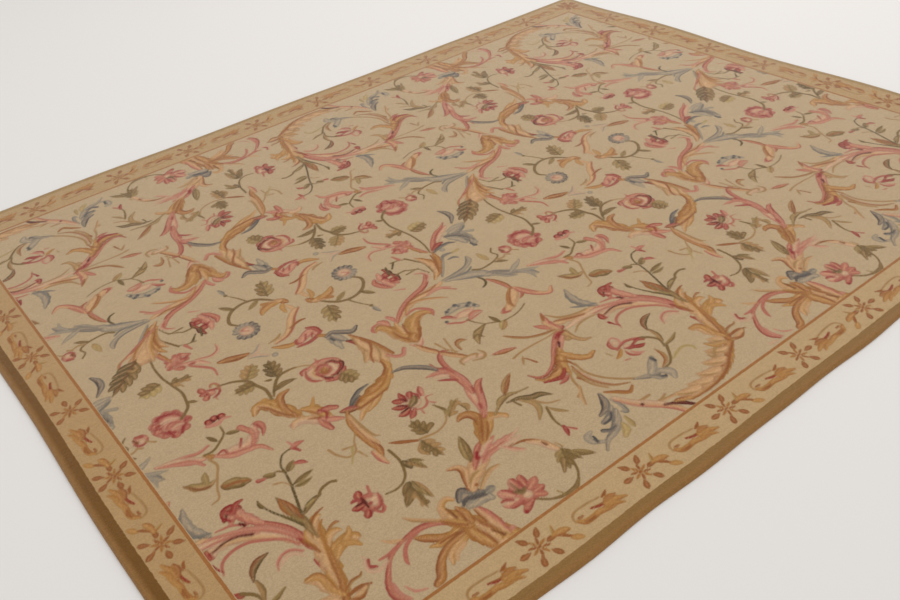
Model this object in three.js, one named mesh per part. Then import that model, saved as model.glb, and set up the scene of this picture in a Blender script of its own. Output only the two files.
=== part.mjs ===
// A hand-knotted wool rug in the Aubusson manner, 8 by 10 feet, lying on a floor.
// It is woven in one piece: an ivory field, an ochre border and a plain olive edge band,
// with no fringe and no separate binding. The pile rolls over at the rim, the outline
// wavers a little, and two low ripples lift the right-hand end off the floor.
//
// Millimetres, +Z up. +X runs along the rug's length and +Y across it. The origin is on
// the floor under the rug's centre.
import * as THREE from "three";
import { mergeVertices } from "three/addons/utils/BufferGeometryUtils.js";

// Driving dimensions
const LENGTH = 3042; // the warp direction; 10 feet over the waver of the outline
const WIDTH = 2432; // the weft direction; 8 feet over the waver
const THICKNESS = 10; // foundation and pile together
const RIM_RADIUS = 7; // how the pile rolls over at the rim
const WAVER_REACH = 150; // how far in from the rim the outline's waver fades out
const RIPPLE_REACH = 190; // how far in from the rim a ripple fades out

// The grid of the sheet: close rows over the rolled rim, then open ones to the middle.
const RIM_ROWS = [0, 0.7, 2.6, RIM_RADIUS, 45, 100, RIPPLE_REACH]; // distances in from the rim
const OPEN_ROWS = { length: 26, width: 20 };

// How the outline wavers, side by side. Each wave moves the rim outwards by up to its
// swing, with a crest at the place given along that side.
const WAVER = {
  right: [{ swing: 5, wavelength: 1000, crest: 580 }],
  left: [{ swing: 2.5, wavelength: 900, crest: -410 }],
  far: [
    { swing: 3, wavelength: 2150, crest: 1200 },
    { swing: 2.5, wavelength: 800, crest: -120 },
  ],
  near: [
    { swing: 1.5, wavelength: 500, crest: -330 },
    { swing: 1.5, wavelength: 1900, crest: -550 },
  ],
};

// Ripples where the cloth leaves the floor: the crest's height, and where the crests lie.
const RIPPLE = {
  right: { height: 5.5, wavelength: 1000, crest: 580 },
  far: { height: 1.5, wavelength: 1075, crest: -950 },
};

const WOOL = new THREE.MeshStandardMaterial({ color: 0xc2a878, roughness: 0.95, metalness: 0 });

/** Places of the grid's rows across one dimension of the rug, from -size/2 to size/2. */
function rows(size, openRows) {
  const near = RIM_ROWS.map((inset) => inset - size / 2);
  const open = size - 2 * RIPPLE_REACH;
  const middle = Array.from({ length: openRows - 1 }, (_, i) => near.at(-1) + ((i + 1) * open) / openRows);
  const far = near.map((place) => -place).reverse();
  return [...near, ...middle, ...far];
}

/** 1 at the rim, falling smoothly to 0 where the inset reaches the given distance. */
function fade(inset, reach) {
  const t = Math.min(Math.max(1 - inset / reach, 0), 1);
  return t * t * (3 - 2 * t);
}

/** -1 to 1 along a wave, with 1 at its crest. */
function wave({ wavelength, crest }, place) {
  return Math.cos((2 * Math.PI * (place - crest)) / wavelength);
}

/** How far one side's rim stands out at a place along it. */
function waver(waves, place) {
  return waves.reduce((sum, w) => sum + w.swing * wave(w, place), 0);
}

/** Height of the cloth's underside over the floor. */
function lift(x, y) {
  const fromRight = RIPPLE.right.height * (0.5 + 0.5 * wave(RIPPLE.right, y));
  const fromFar = RIPPLE.far.height * (0.5 + 0.5 * wave(RIPPLE.far, x));
  return (
    fromRight * fade(LENGTH / 2 - x, RIPPLE_REACH) + fromFar * fade(WIDTH / 2 - y, RIPPLE_REACH)
  );
}

/** Thickness of the cloth at a distance in from the rim: the pile rolls over there. */
function thickness(inset) {
  if (inset >= RIM_RADIUS) return THICKNESS;
  return THICKNESS - RIM_RADIUS + Math.sqrt(RIM_RADIUS ** 2 - (RIM_RADIUS - inset) ** 2);
}

/** Moves a flat place on the sheet to where it lies, with the outline's waver. */
function lying(x, y) {
  const right = waver(WAVER.right, y) * fade(LENGTH / 2 - x, WAVER_REACH);
  const left = waver(WAVER.left, y) * fade(LENGTH / 2 + x, WAVER_REACH);
  const far = waver(WAVER.far, x) * fade(WIDTH / 2 - y, WAVER_REACH);
  const near = waver(WAVER.near, x) * fade(WIDTH / 2 + y, WAVER_REACH);
  return [x + right - left, y + far - near];
}

/** The whole rug: a box of rows, moved onto the shape in which the cloth lies. */
function rugGeometry() {
  const across = rows(LENGTH, OPEN_ROWS.length);
  const along = rows(WIDTH, OPEN_ROWS.width);
  const box = new THREE.BoxGeometry(1, 1, 1, across.length - 1, along.length - 1, 1);
  box.deleteAttribute("normal");
  box.deleteAttribute("uv");
  const geometry = mergeVertices(box, 1e-5);
  const position = geometry.getAttribute("position");
  for (let i = 0; i < position.count; i++) {
    const x = across[Math.round((position.getX(i) + 0.5) * (across.length - 1))];
    const y = along[Math.round((position.getY(i) + 0.5) * (along.length - 1))];
    const inset = Math.min(LENGTH / 2 - Math.abs(x), WIDTH / 2 - Math.abs(y));
    const onTop = position.getZ(i) > 0;
    const [laidX, laidY] = lying(x, y);
    position.setXYZ(i, laidX, laidY, lift(x, y) + (onTop ? thickness(inset) : 0));
  }
  geometry.computeVertexNormals();
  return geometry;
}

const rug = new THREE.Mesh(rugGeometry(), WOOL);
rug.name = "rug";

const group = new THREE.Group();
group.add(rug);

export default group;
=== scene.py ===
import math

import bmesh
import bpy
import numpy as np
from mathutils import Matrix, Vector


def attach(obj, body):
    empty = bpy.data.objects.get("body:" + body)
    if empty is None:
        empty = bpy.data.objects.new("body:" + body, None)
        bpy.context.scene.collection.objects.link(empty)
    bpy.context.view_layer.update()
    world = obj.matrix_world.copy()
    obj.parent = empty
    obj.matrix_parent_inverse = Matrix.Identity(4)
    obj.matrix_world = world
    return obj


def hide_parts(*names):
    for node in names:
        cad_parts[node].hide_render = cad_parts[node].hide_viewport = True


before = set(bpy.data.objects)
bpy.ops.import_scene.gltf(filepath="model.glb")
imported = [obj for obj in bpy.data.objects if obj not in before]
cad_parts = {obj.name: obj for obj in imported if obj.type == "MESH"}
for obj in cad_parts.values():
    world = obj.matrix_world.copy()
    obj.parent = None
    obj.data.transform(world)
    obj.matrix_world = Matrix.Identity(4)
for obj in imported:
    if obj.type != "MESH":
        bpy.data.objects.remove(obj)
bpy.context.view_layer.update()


# The camera stands off the rug's near left corner with its lens 1.56 m above the floor. It is
# rolled slightly and looks down across the rug to the far right corner. Its place and lens
# were solved from the four straight edges of the rug.
CAMERA_PLACE = Vector((-1.6542, -2.0594, 1.5557))
CAMERA_RIGHT = Vector((0.78022, -0.61986, -0.08388))
CAMERA_VIEW = Vector((0.46234, 0.66181, -0.59013))
FOCAL_PIXELS = 931.1  # focal length in pixels of a picture 900 pixels wide
PICTURE_WIDTH = 900

lens = bpy.data.cameras.new("camera")
lens.sensor_width = 36
lens.lens = lens.sensor_width * FOCAL_PIXELS / PICTURE_WIDTH
camera = bpy.data.objects.new("camera", lens)
bpy.context.scene.collection.objects.link(camera)
view = CAMERA_VIEW.normalized()
right = (CAMERA_RIGHT - view * CAMERA_RIGHT.dot(view)).normalized()
up = right.cross(view)
camera.matrix_world = Matrix.Translation(CAMERA_PLACE) @ Matrix((right, up, -view)).transposed().to_4x4()
bpy.context.scene.camera = camera


# The floor is a pale seamless sheet of studio paper. A square soft light hangs 4.6 m above it,
# off the rug's right end, and the rest of the light comes evenly from all round.
FLOOR_SIZE = 12
FLOOR_COLOUR = (0.86, 0.835, 0.81)
ROOM_LIGHT = 0.73
SOFTBOX_SIZE = 4.0
SOFTBOX_POWER = 84
SOFTBOX_PLACE = (2.7, 1.2, 4.6)

bm = bmesh.new()
bmesh.ops.create_grid(bm, x_segments=1, y_segments=1, size=FLOOR_SIZE)
floor_mesh = bpy.data.meshes.new("floor")
bm.to_mesh(floor_mesh)
bm.free()
floor = bpy.data.objects.new("floor", floor_mesh)
bpy.context.scene.collection.objects.link(floor)
paper = bpy.data.materials.new("studio_paper")
paper.use_nodes = True
paper_shader = paper.node_tree.nodes["Principled BSDF"]
paper_shader.inputs["Base Color"].default_value = (*FLOOR_COLOUR, 1)
paper_shader.inputs["Roughness"].default_value = 0.9
paper_shader.inputs["Specular IOR Level"].default_value = 0.1
floor_mesh.materials.append(paper)

world = bpy.data.worlds.new("studio")
bpy.context.scene.world = world
world.use_nodes = True
world.node_tree.nodes["Background"].inputs["Color"].default_value = (1.0, 0.99, 0.98, 1)
world.node_tree.nodes["Background"].inputs["Strength"].default_value = ROOM_LIGHT

softbox_data = bpy.data.lights.new("softbox", "AREA")
softbox_data.shape = "RECTANGLE"
softbox_data.size = SOFTBOX_SIZE
softbox_data.size_y = SOFTBOX_SIZE
softbox_data.energy = SOFTBOX_POWER
softbox_data.color = (1.0, 0.975, 0.94)
softbox = bpy.data.objects.new("softbox", softbox_data)
softbox.location = SOFTBOX_PLACE
softbox.rotation_euler = (-softbox.location).to_track_quat("-Z", "Y").to_euler()
bpy.context.scene.collection.objects.link(softbox)
bpy.context.scene.view_settings.view_transform = "Standard"


# The design is knotted from nearly thirty dyed yarns. Its chart is a list of runs of colour,
# drawn in centimetres from the rug's centre, with x along the rug's length. It covers
# one repeat of the near half, and a later run covers what was charted before it.
YARN_GAIN = 1.08  # makes up for the light that the pile's own shadows take


def yarn(red, green, blue):
    """A yarn's colour, from the shade of 0 to 255 that it shows in the studio light."""
    shade = [value / 255 for value in (red, green, blue)]
    return tuple((((s + 0.055) / 1.055) ** 2.4) * YARN_GAIN for s in shade)


YARNS = {
    "ground": yarn(183, 158, 123),
    "guard": yarn(158, 105, 58),
    "border": yarn(177, 145, 102),
    "border left": yarn(177, 143, 99),
    "border near": yarn(185, 155, 113),
    # The edge band is one olive yarn. Its darker inner tones are that olive darkened as painted shade, and
    # its lighter outer tone is a painted highlight where the pile rolls over at the rim.
    "band inner": yarn(116, 80, 38),
    # painted light: the band's tone is lighter on the near side than on the left, and lighter still on the
    # far and right sides
    "band near": yarn(139, 105, 60),
    "band far lit": yarn(158, 127, 80),
    "band outer highlit": yarn(145, 106, 61),
    "gold": yarn(172, 125, 68),
    "amber": yarn(158, 106, 54),
    "rust": yarn(142, 86, 46),
    "sienna": yarn(118, 68, 38),
    "tan": yarn(158, 121, 76),
    "peach": yarn(187, 145, 103),
    "blush": yarn(190, 153, 122),
    "pink": yarn(182, 122, 100),
    "coral": yarn(170, 101, 82),
    "rose": yarn(151, 70, 61),
    "crimson": yarn(137, 37, 37),
    "wine": yarn(80, 16, 16),
    "lilac": yarn(147, 134, 114),
    "slate": yarn(117, 109, 97),
    "navy": yarn(78, 73, 70),
    "straw": yarn(166, 140, 88),
    "moss": yarn(144, 118, 72),
    "olive": yarn(120, 94, 54),
    "forest": yarn(92, 74, 42),
}
strokes = []
only = ""  # the half that a stroke is woven in, where it isn't both


def ribbon(yarns, *points):
    """One run of colour. yarns names the left and right sides' yarns, then the tip's."""
    names = yarns.split()
    left = YARNS[names[0]]
    right = YARNS[names[1]] if len(names) > 1 else left
    tip = YARNS[names[2]] if len(names) > 2 else None
    strokes.append((np.array(smooth_run(points)), left, right, tip, only))


def smooth_run(points, steps=6):
    """Points (x, y, width) joined by a smooth curve through them all."""
    points = [np.array(p, float) for p in points]
    ends = [2 * points[0] - points[1], *points, 2 * points[-1] - points[-2]]
    run = []
    for a, b, c, d in zip(ends, ends[1:], ends[2:], ends[3:]):
        for t in np.arange(steps) / steps:
            run.append(0.5 * (2 * b + (c - a) * t + (2 * a - 5 * b + 4 * c - d) * t**2
                              + (3 * b - a - 3 * c + d) * t**3))
    return run + [points[-1]]


def stem(yarns, width, *places):
    """A run of one width, thinner towards its end."""
    last = len(places) - 1
    ribbon(yarns, *((x, y, width * (0.9 - 0.3 * i / last)) for i, (x, y) in enumerate(places)))


def leaf(yarns, start, end, width, bend=0, lobes=0, rib="forest"):
    """A pointed leaf from its stalk to its tip, with side lobes and a darker midrib."""
    (x0, y0), (x1, y1) = start, end
    length = math.hypot(x1 - x0, y1 - y0)
    ux, uy = (x1 - x0) / length, (y1 - y0) / length

    def at(t, out):
        arch = 4 * t * (1 - t) * bend * length
        return x0 + ux * t * length - uy * (out + arch), y0 + uy * t * length + ux * (out + arch)

    def swell(t):
        return math.sin(math.pi * t**0.8) ** 0.8 if 0 < t < 1 else 0

    body = 0.6 if lobes else 1
    ribbon(yarns, *((*at(t, 0), max(body * width * swell(t), 0.15)) for t in np.linspace(0, 1, 7)))
    names = yarns.split()
    for i in range(lobes + 1 if lobes else 0):
        t = 0.14 + 0.5 * i / lobes
        reach = 0.52 * width * swell(t + 0.14)
        for turn, name in ((1, names[0]), (-1, names[-1])):
            ribbon(name, (*at(t - 0.04, 0), 0.3 * width),
                   (*at(t + 0.06, 0.55 * turn * reach), 0.42 * width),
                   (*at(t + 0.16, turn * reach), 0.24 * width),
                   (*at(t + 0.22, 1.1 * turn * reach), 0.06 * width))
    if rib:
        ribbon(rib, *((*at(t, 0), 0.42 - 0.2 * t) for t in np.linspace(0, 0.86, 5)))


def spot(yarns, x, y, size):
    """A round patch of one colour."""
    ribbon(yarns, (x, y, size), (x + 0.05, y, size))


def petals(yarns, x, y, inner, outer, width, count, first=0, sweep=360):
    """A ring of petals round a place, from the first direction in degrees onwards."""
    for i in range(count):
        turn = math.radians(first + sweep * i / count)
        c, s = math.cos(turn), math.sin(turn)
        ribbon(yarns, (x + inner * c, y + inner * s, 0.5 * width),
               (x + (0.4 * inner + 0.6 * outer) * c, y + (0.4 * inner + 0.6 * outer) * s, width),
               (x + outer * c, y + outer * s, 0.5 * width))


# The great ring at the near edge: an acanthus scroll of blush, tan and gold wool that closes
# on itself, lined in coral and wine. A plumed slate-blue leaf hangs at its left.
ribbon("crimson wine", (-12.8, -61.4, 0.9), (-11.6, -59.2, 2.2), (-9.8, -58.8, 2.2), (-8.4, -60, 1.2))
ribbon("pink coral", (-12, -63, 1), (-10.8, -61.4, 2.2), (-8.8, -61.2, 1.8))
ribbon("pink blush", (-20, -68.6, 1.6), (-17, -66.8, 3.4), (-12, -67.2, 4.4), (-8, -69.8, 4.4),
       (-5, -73.6, 3.4), (-3.2, -78, 2))
ribbon("blush", (-30, -64.6, 1), (-25, -64, 2), (-19, -64.4, 2.4), (-13.6, -66, 2.4))
ribbon("blush peach", (-19.4, -66.6, 1.2), (-14, -67, 2.4), (-9.6, -69.4, 2.6), (-6, -73, 2.2),
       (-3.6, -77, 1.4))
ribbon("pink coral", (-20, -63, 0.6), (-15.6, -64.4, 1), (-11, -66.4, 1.3), (-7.4, -69, 1.5),
       (-4.6, -72.4, 1.5), (-2.9, -76, 1.4))
ribbon("coral", (-19.6, -74.4, 0.4), (-18.4, -71.4, 0.8), (-15.4, -69.9, 0.9), (-11.6, -70.2, 0.9),
       (-8, -72.4, 0.9), (-5, -75, 0.8), (-3.6, -78, 0.6))
ribbon("rose coral", (-9.2, -61, 0.7), (-8.5, -64.2, 1), (-6.9, -67, 1.2), (-4.5, -70, 1.2),
       (-2.7, -73.4, 1.3), (-2, -76.6, 1.5), (-2.2, -79.4, 1.7), (-1.8, -81.6, 0.9), (-1.8, -84, 0.5))
ribbon("coral", (-15.6, -62.8, 0.5), (-12, -63.6, 0.8), (-9.4, -65.8, 0.6))
ribbon("coral", (-20.4, -65, 0.4), (-16, -65.6, 0.7), (-11.6, -67.2, 0.6), (-8.6, -69.4, 0.4))
ribbon("tan", (-29.6, -67.4, 0.4), (-26.4, -65.6, 0.7), (-22.7, -65.4, 0.6), (-19.3, -66, 0.4))
ribbon("crimson", (-3.2, -76.4, 0.4), (-2.6, -78, 1.1), (-2.4, -79.8, 0.5))
ribbon("crimson rose", (-3.3, -83.8, 0.7), (-2.9, -86, 1.3), (-3.1, -88.2, 0.8))
ribbon("crimson", (-19.8, -66.4, 1), (-20, -67.8, 1.9), (-19.3, -68.8, 0.7))
ribbon("wine", (-18.6, -67.4, 0.5), (-15.6, -66.7, 0.6), (-12.6, -67.2, 0.6), (-9.9, -68.8, 0.8))
ribbon("wine", (-10.6, -64.2, 0.6), (-9.9, -65.4, 0.8))
ribbon("crimson", (-20.4, -70.6, 0.9), (-19.8, -72.4, 0.5), (-19.2, -73.6, 0.4))
ribbon("pink coral", (-10.4, -81, 0.4), (-9.4, -79, 0.7), (-7.4, -77.9, 0.8), (-5.6, -78.2, 0.8),
       (-3.9, -80, 0.7))
ribbon("blush", (-9.6, -80.4, 0.6), (-7.6, -79.2, 0.9), (-5.6, -79.6, 0.8), (-4.3, -81.4, 0.5))
ribbon("crimson coral", (-30.2, -63.3, 1), (-34, -65, 2), (-38.6, -68.8, 1.7), (-42.6, -72.6, 1.2),
       (-46.6, -74.5, 0.9), (-49, -73.8, 0.9), (-50.2, -71.6, 0.5))
ribbon("pink", (-32.6, -66, 1.2), (-36, -68.3, 1.8), (-38.8, -70.8, 1.8))
ribbon("wine", (-36.9, -69, 0.5), (-35.6, -67.4, 0.8))
ribbon("gold rust", (-37.4, -69.2, 1.4), (-39.6, -72.4, 3.6), (-43, -75.4, 3.4), (-47.6, -76, 1.8),
       (-49.8, -74.2, 0.8))
ribbon("gold amber", (-38.4, -71.4, 3), (-36.6, -74.8, 2.8), (-34.2, -76.8, 2.2), (-31.8, -76.2, 1.2))
ribbon("gold amber", (-39.8, -72.4, 2.4), (-41.4, -75.6, 2.2), (-42, -78.4, 0.8))
ribbon("crimson", (-41.8, -76, 0.8), (-44.6, -77.8, 1.5), (-49, -76.4, 0.7))
ribbon("rose coral", (-42.6, -78.4, 0.7), (-44.6, -79.2, 1.4), (-46.6, -79.4, 0.5))
ribbon("rust", (-41.5, -72.4, 0.5), (-39.3, -74.6, 0.7), (-39, -77, 0.5))
ribbon("tan", (-31.8, -65.4, 2.6), (-31.4, -68.6, 1.6), (-30.2, -71, 1.4), (-28.2, -71.8, 0.5))
spot("tan", -32.8, -67.9, 2)
ribbon("blush", (-40.2, -78, 1), (-40.2, -82, 1.4), (-39.4, -86, 1.6), (-37.4, -88.8, 1))
ribbon("rust tan", (-40, -76.6, 0.6), (-40.6, -81, 1), (-39.8, -85, 1), (-37.6, -88.6, 0.9),
       (-34, -90.8, 0.5))
ribbon("tan", (-40.7, -77.6, 0.6), (-41.4, -81.5, 0.8), (-40.9, -85.2, 0.7), (-39.2, -88.4, 0.6))
ribbon("tan", (-38.6, -76.2, 0.6), (-39.1, -80.2, 0.8), (-37.7, -84.3, 0.8), (-35, -87.9, 0.8),
       (-31.8, -90.8, 0.8))
ribbon("tan", (-42, -77.8, 0.6), (-43.6, -81, 0.7), (-44.5, -84.4, 0.8), (-46.8, -85.8, 0.7))
ribbon("tan peach", (-43.8, -83.4, 0.6), (-45.8, -86, 1), (-47.4, -89, 0.6))
ribbon("rust", (-41.9, -80.8, 0.8), (-41.5, -82.4, 0.5))
ribbon("slate navy", (-42.4, -88.4, 0.7), (-43.4, -91.2, 2.2), (-45, -93.2, 2), (-47.6, -94, 0.9))
ribbon("lilac slate", (-43.6, -93.6, 1.2), (-45.6, -95.4, 2), (-48.9, -96.2, 1.2))
ribbon("navy", (-45, -94.9, 0.7), (-46.6, -96.4, 0.8), (-48.9, -96.6, 0.7))
ribbon("lilac slate", (-43.6, -95, 1.2), (-46.2, -98, 2.4), (-49.2, -99.9, 2.2), (-51.8, -100.7, 1.4),
       (-53.4, -101.9, 0.9), (-54.5, -103, 0.7))
ribbon("lilac", (-53.2, -96.3, 1), (-55, -97, 1.8), (-55, -99, 1.6), (-53, -100.6, 1))
ribbon("navy", (-53.8, -97.8, 0.8), (-54.2, -99.6, 0.8))
ribbon("navy slate", (-50.8, -98, 1.3), (-49, -99.2, 1.2), (-47.2, -98.8, 0.7))
ribbon("slate lilac", (-41.8, -91.8, 0.8), (-41.4, -94.8, 1.2), (-42, -97.2, 1.2), (-42.9, -96.4, 0.6))
ribbon("straw", (-45.7, -99.2, 0.8), (-46.4, -101.2, 2), (-48.2, -102.6, 1.2))
ribbon("moss straw", (-43.7, -98, 0.6), (-44, -100.6, 1.4), (-44.4, -101.8, 0.6))
ribbon("rust amber", (-41, -89, 0.7), (-38.8, -90.9, 1.2), (-36.6, -93, 1.2), (-34.4, -91.9, 0.7))
ribbon("tan", (-40.5, -93.6, 0.6), (-37.6, -96.6, 0.8), (-34, -97, 0.8))
ribbon("tan", (-36.4, -99.3, 0.5), (-33.6, -100, 0.8), (-31, -99.3, 0.6))
ribbon("tan peach", (-33.4, -100.4, 0.7), (-30, -101, 1), (-26.8, -102.2, 0.7))
ribbon("blush", (-41, -92, 1.4), (-38.6, -96.6, 2.4), (-35.6, -100, 2.6), (-32.8, -103, 1.6))
ribbon("peach coral", (-41.2, -92.6, 0.8), (-38.4, -97.4, 1.1), (-35, -101.3, 1.4), (-32.8, -104, 1.8),
       (-31.8, -106.6, 1.4))
ribbon("wine", (-34, -101.8, 0.7), (-31.8, -103, 1), (-30, -104.6, 1.3), (-28.7, -106.5, 0.9))
spot("wine", -37.7, -98.1, 0.9)
ribbon("gold rust", (-2.7, -94.6, 2.4), (-4.6, -97, 2.8), (-8.6, -100.4, 3), (-12.4, -102.6, 3),
       (-17, -104, 3), (-22, -104.4, 2.6), (-27, -104.2, 2.2), (-31, -102.6, 1.2))
for x, y, lean in (
    (-4.2, -95.6, 2.5), (-7.4, -98.2, 3.2), (-10.8, -100.6, 3.6), (-14.8, -102.4, 3.9),
    (-19, -103.4, 4.1), (-23.4, -103.4, 4.2),
):
    ribbon("peach", (x, y, 3), (x - 0.5 * lean, y + 0.3, 3.8), (x - 1.1 * lean, y + 1.4, 2.4),
           (x - 1.4 * lean, y + 2.6, 0.6))
    ribbon("tan", (x - 0.4 * lean, y - 0.6, 0.5), (x - 0.9 * lean, y + 0.4, 0.8),
           (x - 1.3 * lean, y + 1.9, 0.5))
ribbon("rust", (-3.6, -97.6, 0.8), (-8.6, -100.6, 0.9), (-13, -103.4, 0.9), (-18.2, -105, 0.8),
       (-23, -105.4, 0.6), (-28, -105, 0.4))
ribbon("tan", (-6.6, -97.6, 0.5), (-9.4, -96.6, 0.9), (-11.8, -98.6, 0.9), (-12.6, -97, 0.5))
ribbon("gold tan", (-5.4, -96.4, 1.6), (-8.2, -95.4, 1.8), (-9.6, -93.6, 0.8))

# The lily that the ring holds, knotted in blush, coral and crimson on a bent olive stalk. A
# curled leaf of lilac and slate lies at its foot.
spot("blush", -25.7, -77.8, 1.8)
ribbon("pink", (-26, -76, 0.5), (-24.6, -75.8, 0.7), (-24.1, -77.6, 0.7), (-24.8, -79.1, 0.5))
ribbon("coral rose", (-26.2, -76.1, 0.5), (-27.3, -77.4, 1.3), (-27.4, -78.9, 1.2), (-26.4, -80, 0.7))
spot("blush", -24.4, -80.6, 1.7)
ribbon("coral rose", (-27.2, -80, 0.7), (-25.4, -79.4, 0.9), (-23.4, -79, 1), (-21.4, -79.6, 1),
       (-19.8, -80.6, 1.1))
ribbon("crimson rose", (-21.8, -81, 0.7), (-20.4, -80.7, 1.2), (-19.3, -81.2, 1.5), (-19.2, -81.8, 0.6))
ribbon("crimson", (-24.8, -81.8, 0.6), (-23, -82.2, 1.4), (-21.6, -83, 1.5), (-20.2, -83, 0.5))
ribbon("rose", (-25.4, -81, 0.5), (-24, -81.5, 0.8), (-22.4, -81.2, 0.9))
ribbon("coral rose", (-26, -81.8, 0.5), (-26.1, -83.4, 0.9), (-25.2, -84.6, 0.9), (-24.1, -85.3, 0.5))
ribbon("pink", (-25, -83, 0.6), (-23.9, -84.6, 0.9), (-22.6, -85.2, 0.4))
ribbon("amber gold", (-29.6, -82.4, 0.6), (-28.4, -82.1, 1.2), (-27.2, -81.3, 1.2), (-26.3, -80.6, 0.6))
ribbon("tan", (-30.2, -79.2, 0.5), (-29.8, -80.8, 0.5))
ribbon("coral", (-28.6, -84.3, 0.5), (-27.3, -84.7, 0.6))
stem("olive", 1.1, (-19, -80.9), (-17.3, -82.5), (-16.4, -84.7), (-17.4, -87.2))
stem("olive", 1, (-16.6, -87), (-18.2, -89.3), (-20, -91.5), (-21.8, -92.7), (-24.4, -93))
ribbon("rust tan", (-23.8, -92.4, 0.5), (-21.4, -91.2, 1.1), (-20.2, -89.2, 1.3), (-20.1, -86.3, 0.4))
ribbon("moss olive", (-16.8, -87, 0.7), (-14, -86.6, 1.2), (-11.3, -85.4, 0.4))
ribbon("tan olive", (-16, -85.4, 0.6), (-15.2, -82.8, 1.4), (-15.2, -80.2, 0.8))
ribbon("sienna forest", (-15.6, -79.9, 0.5), (-14.6, -77.6, 1.6), (-12.6, -76, 1.9), (-9.8, -75.4, 0.4))
ribbon("straw", (-19.4, -92, 0.5), (-16.8, -90.9, 0.8), (-14, -90.6, 0.9), (-12.5, -92, 0.8),
       (-12.7, -93.5, 0.5))
ribbon("lilac slate", (-32.4, -90.6, 0.6), (-30.4, -91.6, 1.4), (-28.2, -92.6, 2), (-25, -93, 1.6))
ribbon("lilac", (-27.6, -92, 2), (-25, -89.9, 2.6), (-23.2, -88, 1.4))
ribbon("lilac", (-25.4, -92.8, 1.8), (-23.8, -94.8, 2.6), (-24.6, -97, 1.2))
ribbon("slate lilac", (-28.6, -92.8, 1), (-27.4, -94.4, 1.8), (-26.2, -95.2, 1.2))
ribbon("navy", (-23.5, -88.2, 1), (-23.4, -89.4, 1.1))
ribbon("navy", (-26.8, -94.6, 0.7), (-25.8, -95.1, 0.9))

# The gold trunk at the ring's right, which is shaded with peach and rust along one side. A
# fan of olive and forest stalks and leaves grows from its head.
ribbon("gold peach", (-115, -75.4, 1.6), (-117, -79, 4.4), (-118.4, -85, 5), (-119.8, -91, 4),
       (-121.2, -96, 2))
ribbon("gold peach", (-118.8, -88, 1.6), (-115.6, -84.2, 3.6), (-113, -83.6, 3.6), (-111.4, -84, 3.2),
       (-110.8, -84.6, 2))
ribbon("peach gold", (-121.4, -95, 1.6), (-122.6, -91, 3), (-123, -88.4, 3), (-124.6, -87.2, 2))
ribbon("gold amber", (-121.4, -97, 1.6), (-119.6, -92.4, 1.5), (-118.4, -88, 1.4), (-117.4, -84, 1.2),
       (-116.4, -80.8, 0.8))
ribbon("rust amber", (-121.2, -96.4, 1.6), (-119.3, -91.4, 1.4), (-118.2, -87, 1.1), (-117.2, -83.4, 0.9),
       (-115.6, -80.4, 0.7), (-114, -78.7, 0.7), (-112.2, -78.1, 0.8), (-111.5, -78.6, 0.4))
ribbon("gold peach", (-116.6, -82.6, 0.8), (-115.4, -80.6, 2), (-113.6, -80, 1.8), (-112.4, -80.7, 0.7))
ribbon("gold peach", (-117.6, -78.6, 1), (-116.6, -76.2, 2.4), (-115, -74.2, 2), (-113.6, -74.2, 0.7))
ribbon("rust", (-117.4, -78, 0.4), (-116.6, -75.4, 0.7), (-114.8, -73.6, 0.7), (-113.2, -73, 0.6),
       (-112, -72.8, 0.4))
ribbon("gold peach", (-118.6, -80.4, 1), (-118.9, -77.8, 1.6), (-118.2, -76, 1.1))
ribbon("amber", (-118, -84.8, 0.6), (-116.6, -80.6, 1), (-115.6, -77.2, 0.9), (-114, -75.6, 0.5))
ribbon("gold", (-117, -86.6, 0.8), (-115.4, -84.9, 2.2), (-113.4, -84, 2.2), (-111.6, -82.6, 1.6),
       (-110.8, -81.2, 0.7))
ribbon("gold", (-113.8, -84.4, 1.6), (-112.2, -85.4, 1.6), (-111.3, -86.9, 0.8))
ribbon("gold amber", (-120.8, -95, 1.2), (-121.9, -92, 1.8), (-122, -89, 2), (-123, -87.4, 2),
       (-125, -87.2, 0.8))
ribbon("gold peach", (-120.6, -92, 0.8), (-120.5, -89.4, 1.4), (-120.2, -87.8, 0.7))
ribbon("rust", (-118.9, -82.6, 0.7), (-119.3, -80.4, 0.9), (-120.2, -77.8, 0.7))
ribbon("rust tan", (-120, -94.6, 0.6), (-118, -93.4, 0.9), (-116, -93.4, 0.7), (-115.2, -92.8, 0.4))
ribbon("rust", (-120.2, -95.8, 0.8), (-117.5, -95.6, 1), (-115.2, -96.4, 0.5))
ribbon("peach tan", (-120.6, -97.4, 1), (-118.6, -97.4, 2), (-116.6, -96.6, 1.2))
ribbon("rust", (-120.4, -97, 0.6), (-118.6, -98, 0.9), (-117, -97.4, 0.4))
ribbon("olive", (-117, -79.2, 0.4), (-117.2, -76, 1.6), (-117, -73.2, 2), (-117, -71, 1.4))
leaf("olive rust", (-117, -72.6), (-118.4, -63), 2.6, rib="sienna")
ribbon("rust amber", (-118.6, -69.6, 0.6), (-118.8, -66.6, 1), (-118.2, -64.4, 0.4))
ribbon("moss", (-117.2, -73, 0.8), (-119, -70.6, 1), (-120, -69, 0.5))
stem("forest", 0.8, (-117.8, -74), (-119.2, -70.4), (-121, -66.4), (-122, -63.4))
ribbon("forest olive", (-121.7, -64.2, 0.6), (-122.2, -62.9, 1.1), (-122, -61.2, 0.4))
stem("forest", 0.8, (-116.3, -71), (-115.8, -69), (-114.7, -65.4), (-113.6, -61.6), (-112.9, -58),
     (-112.5, -55.3), (-110.6, -52.6), (-107.9, -52))
ribbon("forest olive", (-116, -71.6, 0.6), (-114, -70.2, 1.7), (-112, -69.4, 1.4), (-110.4, -69.2, 0.6))
ribbon("straw", (-114.6, -70, 0.4), (-112.4, -69.4, 0.6))
ribbon("olive", (-111, -69.4, 0.6), (-109.4, -68, 0.8), (-107, -67.5, 0.8), (-105.6, -68.1, 0.9))

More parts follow.
